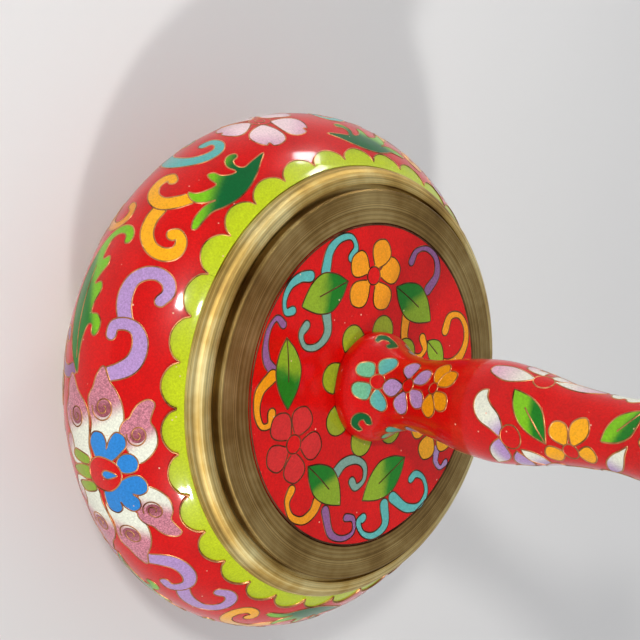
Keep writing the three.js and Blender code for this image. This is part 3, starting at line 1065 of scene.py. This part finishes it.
LOTUS_AXIS = 1.0
LOTUS_RADIUS = 57.0
LOTUS_UPPER = [
    (-1.4, 9.8), (-2.4, 7.4), (-4.8, 5.5), (-7.6, 5.5), (-9.6, 6.5), (-11.2, 6.1), (-13.0, 5.6),
    (-14.0, 6.9), (-13.4, 8.8), (-12.0, 10.0), (-10.9, 10.6), (-10.0, 12.0), (-8.2, 12.8), (-6.0, 12.2),
    (-4.0, 11.4)]
LOTUS_MIDDLE = [
    (-4.6, 15.0), (-7.4, 13.0), (-10.2, 11.8), (-13.2, 12.0), (-16.0, 13.2), (-18.4, 15.0), (-21.3, 16.6),
    (-19.6, 18.0), (-17.2, 18.7), (-15.2, 19.8), (-12.6, 19.7), (-10.0, 19.1), (-7.0, 19.6), (-4.4, 18.8)]
LOTUS_LOWER = [
    (-2.2, 20.4), (-5.4, 20.3), (-8.6, 19.8), (-11.6, 19.8), (-14.0, 20.9), (-16.0, 22.9), (-19.2, 25.4),
    (-17.0, 26.8), (-14.2, 27.0), (-11.6, 28.2), (-8.6, 27.8), (-6.0, 26.0), (-3.0, 25.4)]
LOTUS_FOOT = [
    (-1.0, 22.6), (-3.4, 22.6), (-5.8, 23.8), (-7.2, 25.8), (-6.4, 27.6), (-4.6, 29.4), (-2.2, 28.4),
    (-0.4, 27.0)]
LOTUS_SPIRALS = (((-7.2, 9.2), 2.0), ((-13.0, 16.2), 2.35), ((-11.0, 23.6), 2.3))
LOTUS_LEFT_LOBES = [
    (-1.6, 18.4), (-3.6, 19.3), (-6.2, 19.9), (-8.2, 18.6), (-7.9, 16.6), (-6.0, 15.9), (-4.6, 16.1),
    (-6.6, 15.2), (-8.1, 13.6), (-7.2, 11.9), (-5.2, 11.7), (-3.8, 13.0), (-2.4, 14.8)]
LOTUS_TOP_LOBE = [
    (-2.4, 14.0), (-3.5, 12.6), (-3.4, 10.7), (-1.8, 9.7), (-0.1, 10.3), (0.5, 11.8), (0.3, 13.4),
    (-0.9, 14.4)]
LOTUS_RIGHT_LOBES = [
    (2.0, 14.0), (1.2, 12.2), (1.1, 10.2), (2.6, 8.9), (4.6, 9.2), (5.4, 11.0), (5.0, 12.4), (6.2, 11.3),
    (8.2, 11.6), (9.0, 13.3), (7.9, 14.9), (6.6, 15.5), (8.4, 15.5), (9.4, 17.0), (8.6, 18.7),
    (6.4, 19.0), (4.0, 18.4)]
LOTUS_HEART = [
    (0.8, 13.6), (2.8, 14.6), (4.4, 17.0), (4.0, 19.6), (2.4, 21.2), (0.4, 21.4), (-1.6, 20.6),
    (-3.0, 18.6), (-2.6, 16.2), (-1.2, 14.2)]
LOTUS_DROP = [(0.9, 14.6), (1.6, 16.2), (1.7, 17.4), (0.8, 18.2), (-0.1, 17.4), (0.1, 16.0)]
CALYX_STRIPS = (
    [(-2.6, 20.8), (-1.3, 21.0), (-1.0, 23.4), (-2.0, 26.4), (-3.6, 25.6), (-3.5, 23.0)],
    [(-0.5, 21.3), (1.9, 21.3), (2.3, 24.6), (1.0, 27.8), (-0.5, 24.8)],
    [(3.0, 21.0), (4.4, 20.6), (5.3, 22.8), (5.4, 25.4), (3.9, 26.4), (2.9, 23.4)])


def spiral(centre, radius, mirror):
    """A petal's wire spiral, from its rim in to its middle."""
    line = []
    for k in range(36):
        angle = math.radians(100 - 620 * k / 35)
        reach = radius * (1.12 - 0.94 * k / 35)
        line.append(Vector((centre[0] + mirror * reach * math.cos(angle) * 1.1,
                            centre[1] + reach * math.sin(angle))))
    return line


def lotus(pattern, place):
    """White petals with pink rolled tips, blue lobes, a red heart and a striped calyx."""
    for side in (1, -1):
        def turned(points):
            return points if side > 0 else mirrored(points, LOTUS_AXIS)

        def at(x, y):
            return (x, y) if side > 0 else (2 * LOTUS_AXIS - x, y)

        pattern.field(turned(LOTUS_FOOT), fade(PINK, WHITE, at(-6.5, 28), at(-3.5, 24.5)), place)
        for outline, ((x, y), radius) in zip((LOTUS_LOWER, LOTUS_MIDDLE, LOTUS_UPPER),
                                             reversed(LOTUS_SPIRALS)):
            inner = at(x + 1.4 * radius, y - 0.5 * radius)
            outer = at(x - 0.1 * radius, y + 0.2 * radius)
            pattern.field(turned(outline), fade(WHITE, PINK, inner, outer), place)
            eye = fade(EYE, PINK, at(x, y), at(x - 0.9 * radius, y))
            pattern.cell(circle(at(x, y), radius * 0.8, 18), eye, place, wired=False)
            pattern.wire(spiral(at(x, y), radius, side), place)
    for lobes in (LOTUS_LEFT_LOBES, LOTUS_RIGHT_LOBES, LOTUS_TOP_LOBE):
        pattern.field(lobes, flat(BLUE), place, 0.35)
    for strip in CALYX_STRIPS:
        pattern.field(strip, fade(OLIVE, DISC_LIME, (0, 26), (0, 21)), place, 0.35)
    pattern.field(LOTUS_HEART, fade(RED, CORAL, (0, 15), (1, 21)), place, 0.35)
    pattern.field(LOTUS_DROP, flat(BLUE), place, 0.3)


FINGERED_LEAF = [
    (-15.3, 9.8), (-12.4, 8.1), (-9.0, 6.4), (-5.4, 5.3), (-1.6, 5.2), (1.6, 6.1), (4.0, 7.3), (6.6, 7.7),
    (9.2, 8.0), (9.7, 8.7), (8.4, 9.4), (6.0, 9.6), (3.4, 9.2), (1.4, 8.3), (3.4, 9.9), (4.4, 11.6),
    (4.0, 13.3), (3.1, 14.1), (2.6, 12.7), (1.0, 11.4), (-1.6, 10.6), (-1.9, 12.2), (-2.6, 13.6),
    (-3.8, 13.0), (-4.1, 11.4), (-5.8, 9.9), (-7.0, 9.8), (-6.7, 11.8), (-7.9, 13.5), (-9.6, 13.9),
    (-11.0, 13.2), (-10.4, 12.3), (-8.9, 12.1), (-8.2, 10.8), (-8.8, 9.5), (-11.6, 9.6)]
CURLED_LEAF = [
    (15.0, 23.8), (11.0, 23.8), (7.2, 23.4), (4.9, 22.4), (5.0, 21.4), (6.3, 21.3), (7.1, 20.3),
    (5.8, 19.3), (4.0, 19.3), (2.7, 20.6), (2.6, 22.4), (0.4, 22.4), (-2.4, 21.5), (-3.8, 22.3),
    (-3.2, 24.2), (-5.4, 23.4), (-7.6, 22.3), (-9.3, 22.9), (-8.5, 24.8), (-10.4, 25.2), (-13.0, 24.8),
    (-14.4, 23.0), (-14.2, 21.3), (-12.4, 20.5), (-12.7, 19.4), (-14.4, 19.2), (-16.2, 20.6),
    (-16.5, 22.8), (-15.2, 25.4), (-12.0, 28.0), (-6.0, 30.0), (1.0, 30.2), (8.0, 28.2), (12.6, 25.8)]
LILAC_HOOK = [
    (-2.6, 8.2), (-4.4, 7.2), (-6.4, 7.9), (-7.6, 10.2), (-7.2, 12.8), (-5.4, 14.8), (-2.6, 15.4),
    (0.4, 14.9), (3.4, 13.4)]
LILAC_ARCH = [
    (6.0, 16.2), (4.3, 16.0), (3.4, 13.8), (3.8, 11.5), (5.6, 10.1), (8.2, 9.9), (10.6, 10.9),
    (12.4, 13.0), (13.7, 15.6)]
ORANGE_BIG = [
    (3.9, 12.6), (6.4, 14.9), (7.9, 17.6), (7.1, 20.4), (4.9, 21.9), (2.5, 21.6), (1.3, 20.1),
    (1.9, 19.1)]
ORANGE_HOOK = [
    (8.8, 17.0), (12.0, 17.4), (15.2, 16.5), (17.3, 14.0), (17.2, 11.2), (15.4, 9.1), (13.0, 9.2),
    (12.2, 10.6), (12.9, 11.6)]
TURQUOISE_CURL = [
    (-9.9, 21.1), (-11.6, 20.4), (-11.8, 18.4), (-10.0, 16.9), (-7.2, 17.1), (-4.6, 19.0), (-3.2, 22.2),
    (-3.6, 26.0), (-6.0, 29.6), (-9.6, 31.2), (-12.4, 30.0), (-12.2, 27.8), (-10.6, 27.6)]
ORANGE_SMALL = [
    (9.6, 25.6), (10.2, 24.4), (12.0, 23.9), (14.0, 24.8), (14.8, 27.0), (14.0, 29.6), (11.6, 31.6),
    (8.4, 32.6)]
LILAC_LOW = [(14.2, 25.4), (15.0, 28.2), (14.0, 31.4), (11.0, 33.4), (7.8, 33.0), (6.8, 31.2), (8.0, 30.4)]


def half_unit(pattern, chart, lotus_at, side):
    """The scrolls and leaves between a lotus and a blossom, on one side of the lotus."""
    def wobble(amount):
        return random.uniform(-amount, amount)

    def spot(offset):
        return chart.spot(lotus_at - side * (offset + wobble(STRAY_ROUND)), wobble(STRAY_ALONG), side)

    scroll, leaves = spot(SCROLLS_FROM_LOTUS), spot(LEAVES_FROM_LOTUS)
    curl(pattern, scroll, PURPLE, LILAC_LOW, [2.6, 2.6, 2.4, 2.2])
    pattern.field(CURLED_LEAF, fade(LEAF_LIME, GREEN, (0, 22.3), (1, 24.4)), scroll)
    pattern.wire(spline([(12, 24.6), (6, 25.6), (0, 26.2), (-7, 26.4)], 0.4), scroll)
    curl(pattern, scroll, LILAC, LILAC_HOOK, [2.4, 2.6, 2.9, 3.3, 3.0], cut_end=True)
    curl(pattern, scroll, LILAC, LILAC_ARCH, [2.3, 2.4, 3.2, 3.3, 2.8], cut_end=True)
    curl(pattern, leaves, TURQUOISE, TURQUOISE_CURL, [2.2, 2.2, 2.8, 3.6, 3.2, 2.5, 2.2])
    curl(pattern, leaves, ORANGE, ORANGE_SMALL, [1.7, 1.8, 2.2, 2.2])
    curl(pattern, leaves, YELLOW, ORANGE_HOOK, [3.0, 3.0, 2.8, 2.4, 2.3], cut_start=True)
    curl(pattern, leaves, YELLOW, ORANGE_BIG, [2.6, 2.9, 3.0, 2.6, 2.3, 2.2], cut_start=True)
    pattern.field(FINGERED_LEAF, fade(DEEP_GREEN, LEAF_LIME, (0, 8.2), (1.2, 11.4)), leaves)
    lower_motifs(pattern, *[spot(offset) for offset in LOWER_MOTIFS_FROM_LOTUS])


def lower_motifs(pattern, near, middle, far):
    """Under the belly: a leaf by the lotus, a small blossom, and scrolls up to the foot's collar."""
    two_tone_leaf(pattern, near, (8.0, 33.0), (-3.0, 36.5), 5.4, GREEN, LEAF_LIME, 0.8)
    curl(pattern, near, ORANGE, [(8.0, 46.0), (6.2, 46.6), (5.6, 44.4), (7.2, 41.6), (10.4, 39.4),
                                 (13.0, 36.0)], [2.0, 2.1, 2.3, 2.6, 2.8])
    curl(pattern, near, TURQUOISE, [(-1.6, 42.4), (-3.4, 43.6), (-5.2, 42.0), (-4.4, 39.6), (-1.4, 38.4),
                                    (2.6, 39.6), (4.4, 36.0)], [2.0, 2.1, 2.3, 2.5, 2.4])
    flower(pattern, middle, (0.0, 39.5), ring_of_petals((0.0, 39.5), 4.0, -90), (4.6, 4.3),
           fade(WHITE, PINK, (0, 38), (0, 43)), 1.6)
    two_tone_leaf(pattern, middle, (6.0, 42.0), (12.6, 47.6), 4.6, LEAF_LIME, GREEN, -0.6)
    two_tone_leaf(pattern, middle, (-6.0, 42.0), (-12.4, 47.2), 4.6, GREEN, LEAF_LIME, 0.6)
    curl(pattern, far, LILAC, [(6.4, 36.6), (5.0, 38.0), (2.6, 37.2), (2.2, 34.8), (4.4, 33.2), (7.6, 34.4),
                               (10.0, 37.0)], [2.0, 2.1, 2.3, 2.4, 2.0])
    curl(pattern, far, YELLOW, [(-0.6, 42.6), (0.8, 44.2), (-0.4, 46.4), (-3.0, 46.6), (-4.8, 44.0),
                                (-4.2, 40.6), (-1.2, 37.4)], [2.1, 2.2, 2.4, 2.8, 2.6])
    two_tone_leaf(pattern, far, (2.6, 46.6), (9.0, 43.0), 4.2, LEAF_LIME, GREEN, 0.5)


def blossom(pattern, place):
    """The large five-petalled blossom between two lotuses."""
    heart = (1.0, 19.4)
    petals = ring_of_petals(heart, 6.3, 12)
    for x, y in petals:
        out = Vector((x - heart[0], y - heart[1])).normalized()
        middle = Vector((x, y))
        shade = fade(BLUSH, PALE_PINK, middle - out * 1.0, middle + out * 4.5)
        pattern.cell(notched(middle - out * 4.1, middle + out * 4.3, 8.2, 1.3), shade, place)
    pattern.cell(circle(heart, 2.4, 24), flat(RED), place)
    pattern.wire(circle(heart, 1.1, 14), place, True)
    two_tone_leaf(pattern, place, (1.0, 27.6), (1.0, 36.4), 5.6, GREEN, LEAF_LIME)


def scalloped_collar(pattern, chart, count, first, top, cusp, lobe):
    """A lime band with a scalloped edge, from the line at top to lobes at lobe."""
    width = 2 * math.pi * chart.reach / count
    start = math.radians(first) * chart.reach
    nicks = [cusp + random.uniform(-0.25, 0.25) for _ in range(count)]
    nicks.append(nicks[0])
    edge = []
    for k in range(count):
        depth = lobe + random.uniform(-0.35, 0.35)
        scallop = []
        for i in range(17):
            t = i / 16
            nick = nicks[k] + (nicks[k + 1] - nicks[k]) * t
            swell = math.sin(math.pi * t) ** 0.55 if 0 < i < 16 else 0.0
            scallop.append(Vector((start + width * (k + t), nick + (depth - nick) * swell)))
        edge += scallop
        pattern.cell([Vector((scallop[0].x, top)), *scallop, Vector((scallop[-1].x, top))],
                     fade(LIME, OLIVE, (0, (top + lobe) / 2), (0, lobe + (lobe - top) * 0.5)),
                     lambda x, y: (x, y), wired=False)
    pattern.wire(edge, lambda x, y: (x, y))


def bowl_pattern():
    """The bowl's collars, lotuses, blossoms, scrolls and leaves."""
    line = list(reversed(enamelled))
    marks = [0.0]
    for a, b in zip(line, line[1:]):
        marks.append(marks[-1] + math.dist(a, b))
    chart = TurnedChart(line, marks, max(p[0] for p in line))
    pattern = Pattern(chart, 0.8)
    scalloped_collar(pattern, chart, SCALLOPS, FIRST_CUSP, 0.0, 1.5, 4.6)
    foot_edge = marks[-1] - 0.4
    scalloped_collar(pattern, chart, FOOT_SCALLOPS, 0.0, foot_edge, foot_edge - 1.6, foot_edge - 4.8)
    for lotus_at in LOTUSES:
        for side in (1, -1):
            half_unit(pattern, chart, lotus_at, side)
        lotus(pattern, chart.spot(lotus_at - math.degrees(LOTUS_AXIS / LOTUS_RADIUS)))
    for blossom_at in BLOSSOMS:
        blossom(pattern, chart.spot(blossom_at))
    return pattern


# The disc's pattern, in mm from its middle, with the camera's side at -y

DISC_CURLS = (
    (ORANGE, [(-16, 21.5), (-19.4, 22.2), (-20.4, 25.6), (-18, 29), (-14.2, 30), (-10.4, 28.4),
     (-8.2, 24.6), (-8.4, 20.4)], 3.2),
    (ORANGE, [(-13, 13.8), (-10.6, 15.4), (-8.6, 13.8), (-9, 10.4), (-12, 7.6), (-17, 6.8)], 2.8),
    (PURPLE, [(-29, 5), (-31.6, 6), (-33, 9.4), (-31.6, 13.2), (-28, 14.6), (-24, 12.4)], 2.5),
    (TURQUOISE, [(-25.8, -14.2), (-28.2, -13.4), (-30, -15.2), (-29, -18.4), (-26, -20.8),
     (-21.4, -21)], 2.7),
    (TEAL, [(-9.6, -23.4), (-7.4, -24.4), (-5.2, -22.6), (-5.8, -19.2), (-9, -17),
     (-13.8, -18.8)], 2.7),
    (TURQUOISE, [(-11.8, -28), (-11.2, -29.8), (-13.4, -30.8), (-16.6, -30), (-18.8, -27.6),
     (-19.6, -25)], 2.5),
    (PURPLE, [(-8.6, -29.8), (-9.6, -31.8), (-7.2, -33.4), (-3.4, -33.4), (-0.6, -32.2),
     (0.8, -30.2)], 2.3),
    (ORANGE, [(9.4, -28.2), (11.6, -28), (12.4, -30), (9.8, -32.2), (5.6, -32.6), (2, -30)], 2.8),
    (ORANGE, [(24.4, -18.4), (27, -19), (30, -17), (30.6, -13.4), (28.6, -10.8), (26, -10)], 2.7),
    (PURPLE, [(29.4, -0.2), (29.6, 2.2), (32.4, 3), (34, 0.2), (33.2, -4), (28.2, -7.2)], 2.3),
    (TEAL, [(21.4, -0.6), (22.6, 1), (20.8, 3.2), (17.8, 2.6), (16.6, -0.8), (17.8, -4.4),
     (20.4, -6.4)], 2.7),
    (TURQUOISE, [(29.2, 5.4), (30.2, 4.2), (32.6, 6.2), (33, 10), (30.4, 13.2), (25.8, 11.6)], 2.8),
    (TURQUOISE, [(19.4, 19.4), (18.2, 20.6), (18.8, 23.6), (22, 25.8), (25.2, 24.4), (26.2, 20),
     (24, 14)], 2.7),
    (LILAC, [(2.5, 33), (0.5, 32), (0.4, 29.6), (3, 28.6)], 2.3),
    (LILAC, [(14.6, 31), (16, 29.4), (14.6, 27.2), (11.8, 26.8)], 2.3),
)
DISC_LEAVES = (
    ((-22.6, 1.6), (-17.2, 15.6), 8.4, GREEN, DISC_LIME, 0.4),
    ((-12.6, 15.8), (-8.8, 23), 5.2, DISC_LIME, DISC_LIME, 0.0),
    ((-20.8, -13.8), (-13, -25.8), 8.6, GREEN, DISC_LIME, 0.0),
    ((-6.2, -28.2), (8.2, -24), 7.0, DISC_LIME, GREEN, 0.4),
    ((19.2, -15), (26.8, -2.8), 7.4, GREEN, DISC_LIME, 0.4),
    ((14.6, 15.8), (25.4, 4), 8.6, GREEN, DISC_LIME, 0.0),
    ((-8.4, 9.6), (-10.4, 1.6), 2.4, DEEP_GREEN, DEEP_GREEN, 0.0),
)
DISC_FLOWERS = (
    ((-23.5, -6.3), ((-25.7, -1.1), (-19.6, -2.4), (-18.7, -9.7), (-24.9, -11), (-28.9, -5.2)), ORANGE),
    ((15, -20.4), ((9.9, -19.4), (14.8, -15.2), (20.1, -18.8), (18.2, -24.2), (11.9, -24.8)), CORAL),
    ((6.5, 24), ring_of_petals((6.5, 24), 5.2, 60), YELLOW),
)
DISC_CURL_WIDTHS = (0.78, 0.46, 0.6, 0.84, 1.0)


def disc_pattern():
    """The disc's scrolls, leaves and flowers, with lobes round the stem's root."""
    chart = FlatChart(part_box("lid_disc")[1].z / MM)
    pattern = Pattern(chart, 2.0)

    def place(x, y):
        return x, y

    for colour, points, broad in DISC_CURLS:
        curl(pattern, place, colour, points, [broad * share for share in DISC_CURL_WIDTHS])
    for base, tip, width, left, right, lean in DISC_LEAVES:
        two_tone_leaf(pattern, place, base, tip, width, left, right, lean, 24)
    for heart, petals, colour in DISC_FLOWERS:
        flower(pattern, place, heart, petals, (6.1, 6.1), flat(colour), 2.0)
    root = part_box("stem")[1].y / MM
    for k in range(ROOT_LOBES):
        out = ray(math.radians(-90 + 360 / ROOT_LOBES * k))
        side = Vector((-out.y, out.x))
        outline = [out * (root - ROOT_LOBE_INSET + ROOT_LOBE_REACH * math.sin(math.pi * t / 12) ** 0.8)
                   + side * (-ROOT_LOBE_HALF_WIDTH * math.cos(math.pi * t / 12)) for t in range(13)]
        pattern.cell(outline, flat(OLIVE), place)
    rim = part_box("lid_disc")[1].y / MM - RIM_WIRE_INSET
    pattern.wire(circle((0, 0), rim, 200), place, True)
    return pattern


# The stem's pattern: degrees round and mm above the lid's face

STEM_BLOSSOMS = (
    (-97, 8.9, fade(MINT, TURQUOISE, (0, 6.6), (0, 9.4)),
     ((-127, 9.4), (-108, 6.1), (-82, 6.1), (-68, 9.6)), 1.6),
    (-101, 16.5, flat(LILAC), ((-131, 15.2), (-117, 19.9), (-83, 19.9), (-68, 15.1), (-93, 12.3)), 1.5),
    (-102, 24.0, flat(ORANGE), ((-129, 24.2), (-117, 27.2), (-87, 26.8), (-76, 23.5)), 1.2),
)
HOOKED_PETAL = [
    (0.4, 41.7), (-1.4, 42.0), (-3.8, 41.1), (-5.8, 39.0), (-7.2, 38.0), (-8.6, 37.7), (-8.2, 36.3),
    (-6.8, 35.5), (-4.6, 35.6), (-2.4, 37.1), (-1.1, 39.3)]
WHITE_PETALS = (
    ((0.6, 41.2), (8.6, 38.0), 4.2, 0.7, LILAC, WHITE, (3.4, 41), (4.4, 37.5)),
    ((3.2, 44.2), (11.6, 43.2), 3.6, 0.5, LILAC, WHITE, (7, 44), (9, 41)),
    ((2.6, 45.2), (9.2, 49.4), 3.4, 0.6, WHITE, LILAC, (4, 46), (8, 48)),
)
YELLOW_PETALS = ((-88, 57.2), (-77, 53.0), (-47, 58.3), (-40, 51.8))
PINK_PETALS = (
    ((0.5, 45.0), (1.0, 35.4), 4.6), ((-1.4, 45.4), (-6.0, 41.0), 4.2),
    ((-1.4, 46.8), (-5.8, 51.6), 4.2), ((-0.8, 48.2), (-3.1, 58.0), 4.4),
)
LOBED_PETAL = [
    (-1.6, 59.8), (0.8, 59.0), (3.0, 60.0), (3.2, 61.6), (2.6, 62.4), (3.8, 63.6), (3.6, 65.6),
    (1.6, 66.8), (-1.2, 66.2), (-2.0, 63.0)]
TOP_FLOWERS = ((-86, 72.6, -90, YELLOW), (-166, 72.4, 90, TURQUOISE))


def in_frame(chart, degrees, places):
    """Places given by their own degrees round, in the frame of a motif at an azimuth."""
    return [(math.radians(a - degrees) * chart.ring(z)[0], z) for a, z in places]


def stem_pattern():
    """The stem's blossoms and leaves, on the outer side of its outline."""
    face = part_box("lid_disc")[1].z / MM
    foot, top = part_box("stem")[0].z / MM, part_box("stem")[1].z / MM
    line, _ = cad_outline("stem")
    first = max((i for i in range(len(line)) if line[i][1] < foot + 0.01), key=lambda i: line[i][0])
    last = max((i for i in range(len(line)) if line[i][1] > top - 0.01), key=lambda i: line[i][0])
    shell = [tuple(p) for p in spline(line[first:last + 1], 0.6)]
    chart = TurnedChart(shell, [z - face for _, z in shell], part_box("stem")[1].y / MM)
    pattern = Pattern(chart, 0.7)
    for turn in (0, 120, 240):
        for degrees, level, shade, petals, heart in STEM_BLOSSOMS:
            flower(pattern, chart.spot(degrees + turn), (0.0, level), in_frame(chart, degrees, petals),
                   (4.2, 3.9), shade, heart)
        curl(pattern, chart.spot(-38 + turn), DEEP_GREEN,
             [(1.6, 3.9), (-0.4, 3.7), (-1.8, 4.8), (-1.2, 6.2), (0.4, 6.2)], [0.9, 1.3, 1.9, 1.7, 1.3])
    for turn in (0, 180):
        upper_stem(pattern, chart, turn)
    return pattern


def upper_stem(pattern, chart, turn):
    """The belly's and upper neck's flowers and leaves, which come twice round the stem."""
    white = chart.spot(-62 + turn)
    pattern.field(HOOKED_PETAL, fade(LILAC, WHITE, (0.4, 41.4), (-3.2, 38.6)), white)
    for base, tip, width, lean, first, second, start, end in WHITE_PETALS:
        pattern.cell(leaf(base, tip, width, lean, 0.4), fade(first, second, start, end), white)
    pattern.cell([Vector((0.2 + 2.5 * math.cos(a / 9 * math.pi), 43.5 + 2.1 * math.sin(a / 9 * math.pi)))
                  for a in range(18)], flat(RED), white)
    two_tone_leaf(pattern, chart.spot(-90 + turn), (4.6, 50.4), (-4.8, 42.6), 5.0,
                  LEAF_LIME, GREEN, -0.5, 120)
    flower(pattern, white, (1.7, 55.2), in_frame(chart, -62, YELLOW_PETALS), (4.2, 3.9), flat(YELLOW), 1.6)
    pink = chart.spot(-147 + turn)
    for base, tip, width in PINK_PETALS:
        pattern.cell(leaf(base, tip, width, 0.3, 0.55), fade(WHITE, PALE_PINK, base, tip), pink)
    pattern.cell(circle((0.2, 46.5), 2.0, 18), flat(RED), pink)
    two_tone_leaf(pattern, chart.spot(-104 + turn), (-3.6, 68.2), (3.6, 61.4), 4.8, GREEN, LEAF_LIME, 0.6)
    pattern.cell(leaf((4.2, 62.0), (-3.6, 67.0), 3.2, 0.2, 0.35),
                 fade(LILAC, WHITE, (3.4, 62.4), (-0.6, 65)), chart.spot(-48 + turn))
    pattern.field(LOBED_PETAL, flat(WHITE), chart.spot(-180 + turn))
    for degrees, level, first, colour in TOP_FLOWERS:
        flower(pattern, chart.spot(degrees + turn), (0.0, level), ring_of_petals((0.0, level), 2.3, first),
               (2.5, 2.3), flat(colour), 0.85)


# The disc's wires take the darker copy of the wire, with its painted dark reflections.
for name, body, pattern, wires in (("bowl", "burner", bowl_pattern(), wire_metal),
                                   ("disc", "lid", disc_pattern(), reflection_darkened_wire),
                                   ("stem", "lid", stem_pattern(), wire_metal)):
    dress(pattern.cells_mesh(f"{name}_enamel_cells"), body, "red_enamel", [], cell_enamel)
    dress(pattern.wires_mesh(f"{name}_cloisons"), body, "brass", [], wires)


# Camera, floor and lights

def look():
    """The camera at the photograph's place: the lid's centre and the axis as it sees them."""
    tilt, roll = math.radians(AXIS_TILT), math.radians(AXIS_ROLL)
    up = Vector((math.sin(tilt) * math.cos(roll), math.sin(tilt) * math.sin(roll), math.cos(tilt)))
    to_camera = -Vector(LID_CENTRE_SEEN)
    back = -(to_camera - up * to_camera.dot(up)).normalized()
    right = back.cross(up)
    data = bpy.data.cameras.new("camera")
    data.lens = CAMERA_LENS
    data.sensor_width = CAMERA_SENSOR
    data.clip_start = 0.01
    camera = linked("camera", data)
    rotation = Matrix((right, back, up)).to_4x4()
    camera.matrix_world = Matrix.Translation(Vector(CAMERA_PLACE) * MM) @ rotation
    bpy.context.scene.camera = camera


def floor():
    """A wide pale floor."""
    made, tree, shader = material("pale_floor")
    where = place_in_object(tree)
    tone = ramp(tree, noise(tree, where, 3, 3), (0.3, srgb(218, 216, 212)), (0.7, srgb(224, 222, 219)))
    plug(tree, shader, Base_Color=tone, Roughness=0.9)
    half = 4.0
    mesh = built("floor", [(-half, -half, 0), (half, -half, 0), (half, half, 0), (-half, half, 0)],
                 [(0, 1, 2, 3)])
    mesh.materials.append(made)
    linked("floor", mesh)


def light(name, kind, azimuth, elevation, energy, target=(0, 0, 60), distance=1.0, **settings):
    """A light that faces a place on the object, seen from there at an azimuth and elevation."""
    data = bpy.data.lights.new(name, kind)
    data.energy = energy
    for key, value in settings.items():
        setattr(data, key, value)
    way = toward(azimuth, elevation)
    lamp = linked(name, data)
    lamp.location = Vector(target) * MM + way * distance
    lamp.rotation_euler = (-way).to_track_quat("-Z", "Y").to_euler()


look()
floor()
light("flash", "AREA", -111.5, 44, 1.8, (-8.8, -50.0, 48.8), 0.6, size=0.05)
light("side", "AREA", 168, 14, 0.07, distance=0.9, size=0.14, spread=math.radians(30))
light("far_side", "SUN", -20, 38, 1.3, angle=math.radians(5))

world = bpy.data.worlds.new("world")
world.use_nodes = True
plug(world.node_tree, world.node_tree.nodes["Background"], Color=(0.9, 0.93, 1.0, 1.0), Strength=0.48)
bpy.context.scene.world = world
bpy.context.scene.view_settings.view_transform = "Standard"
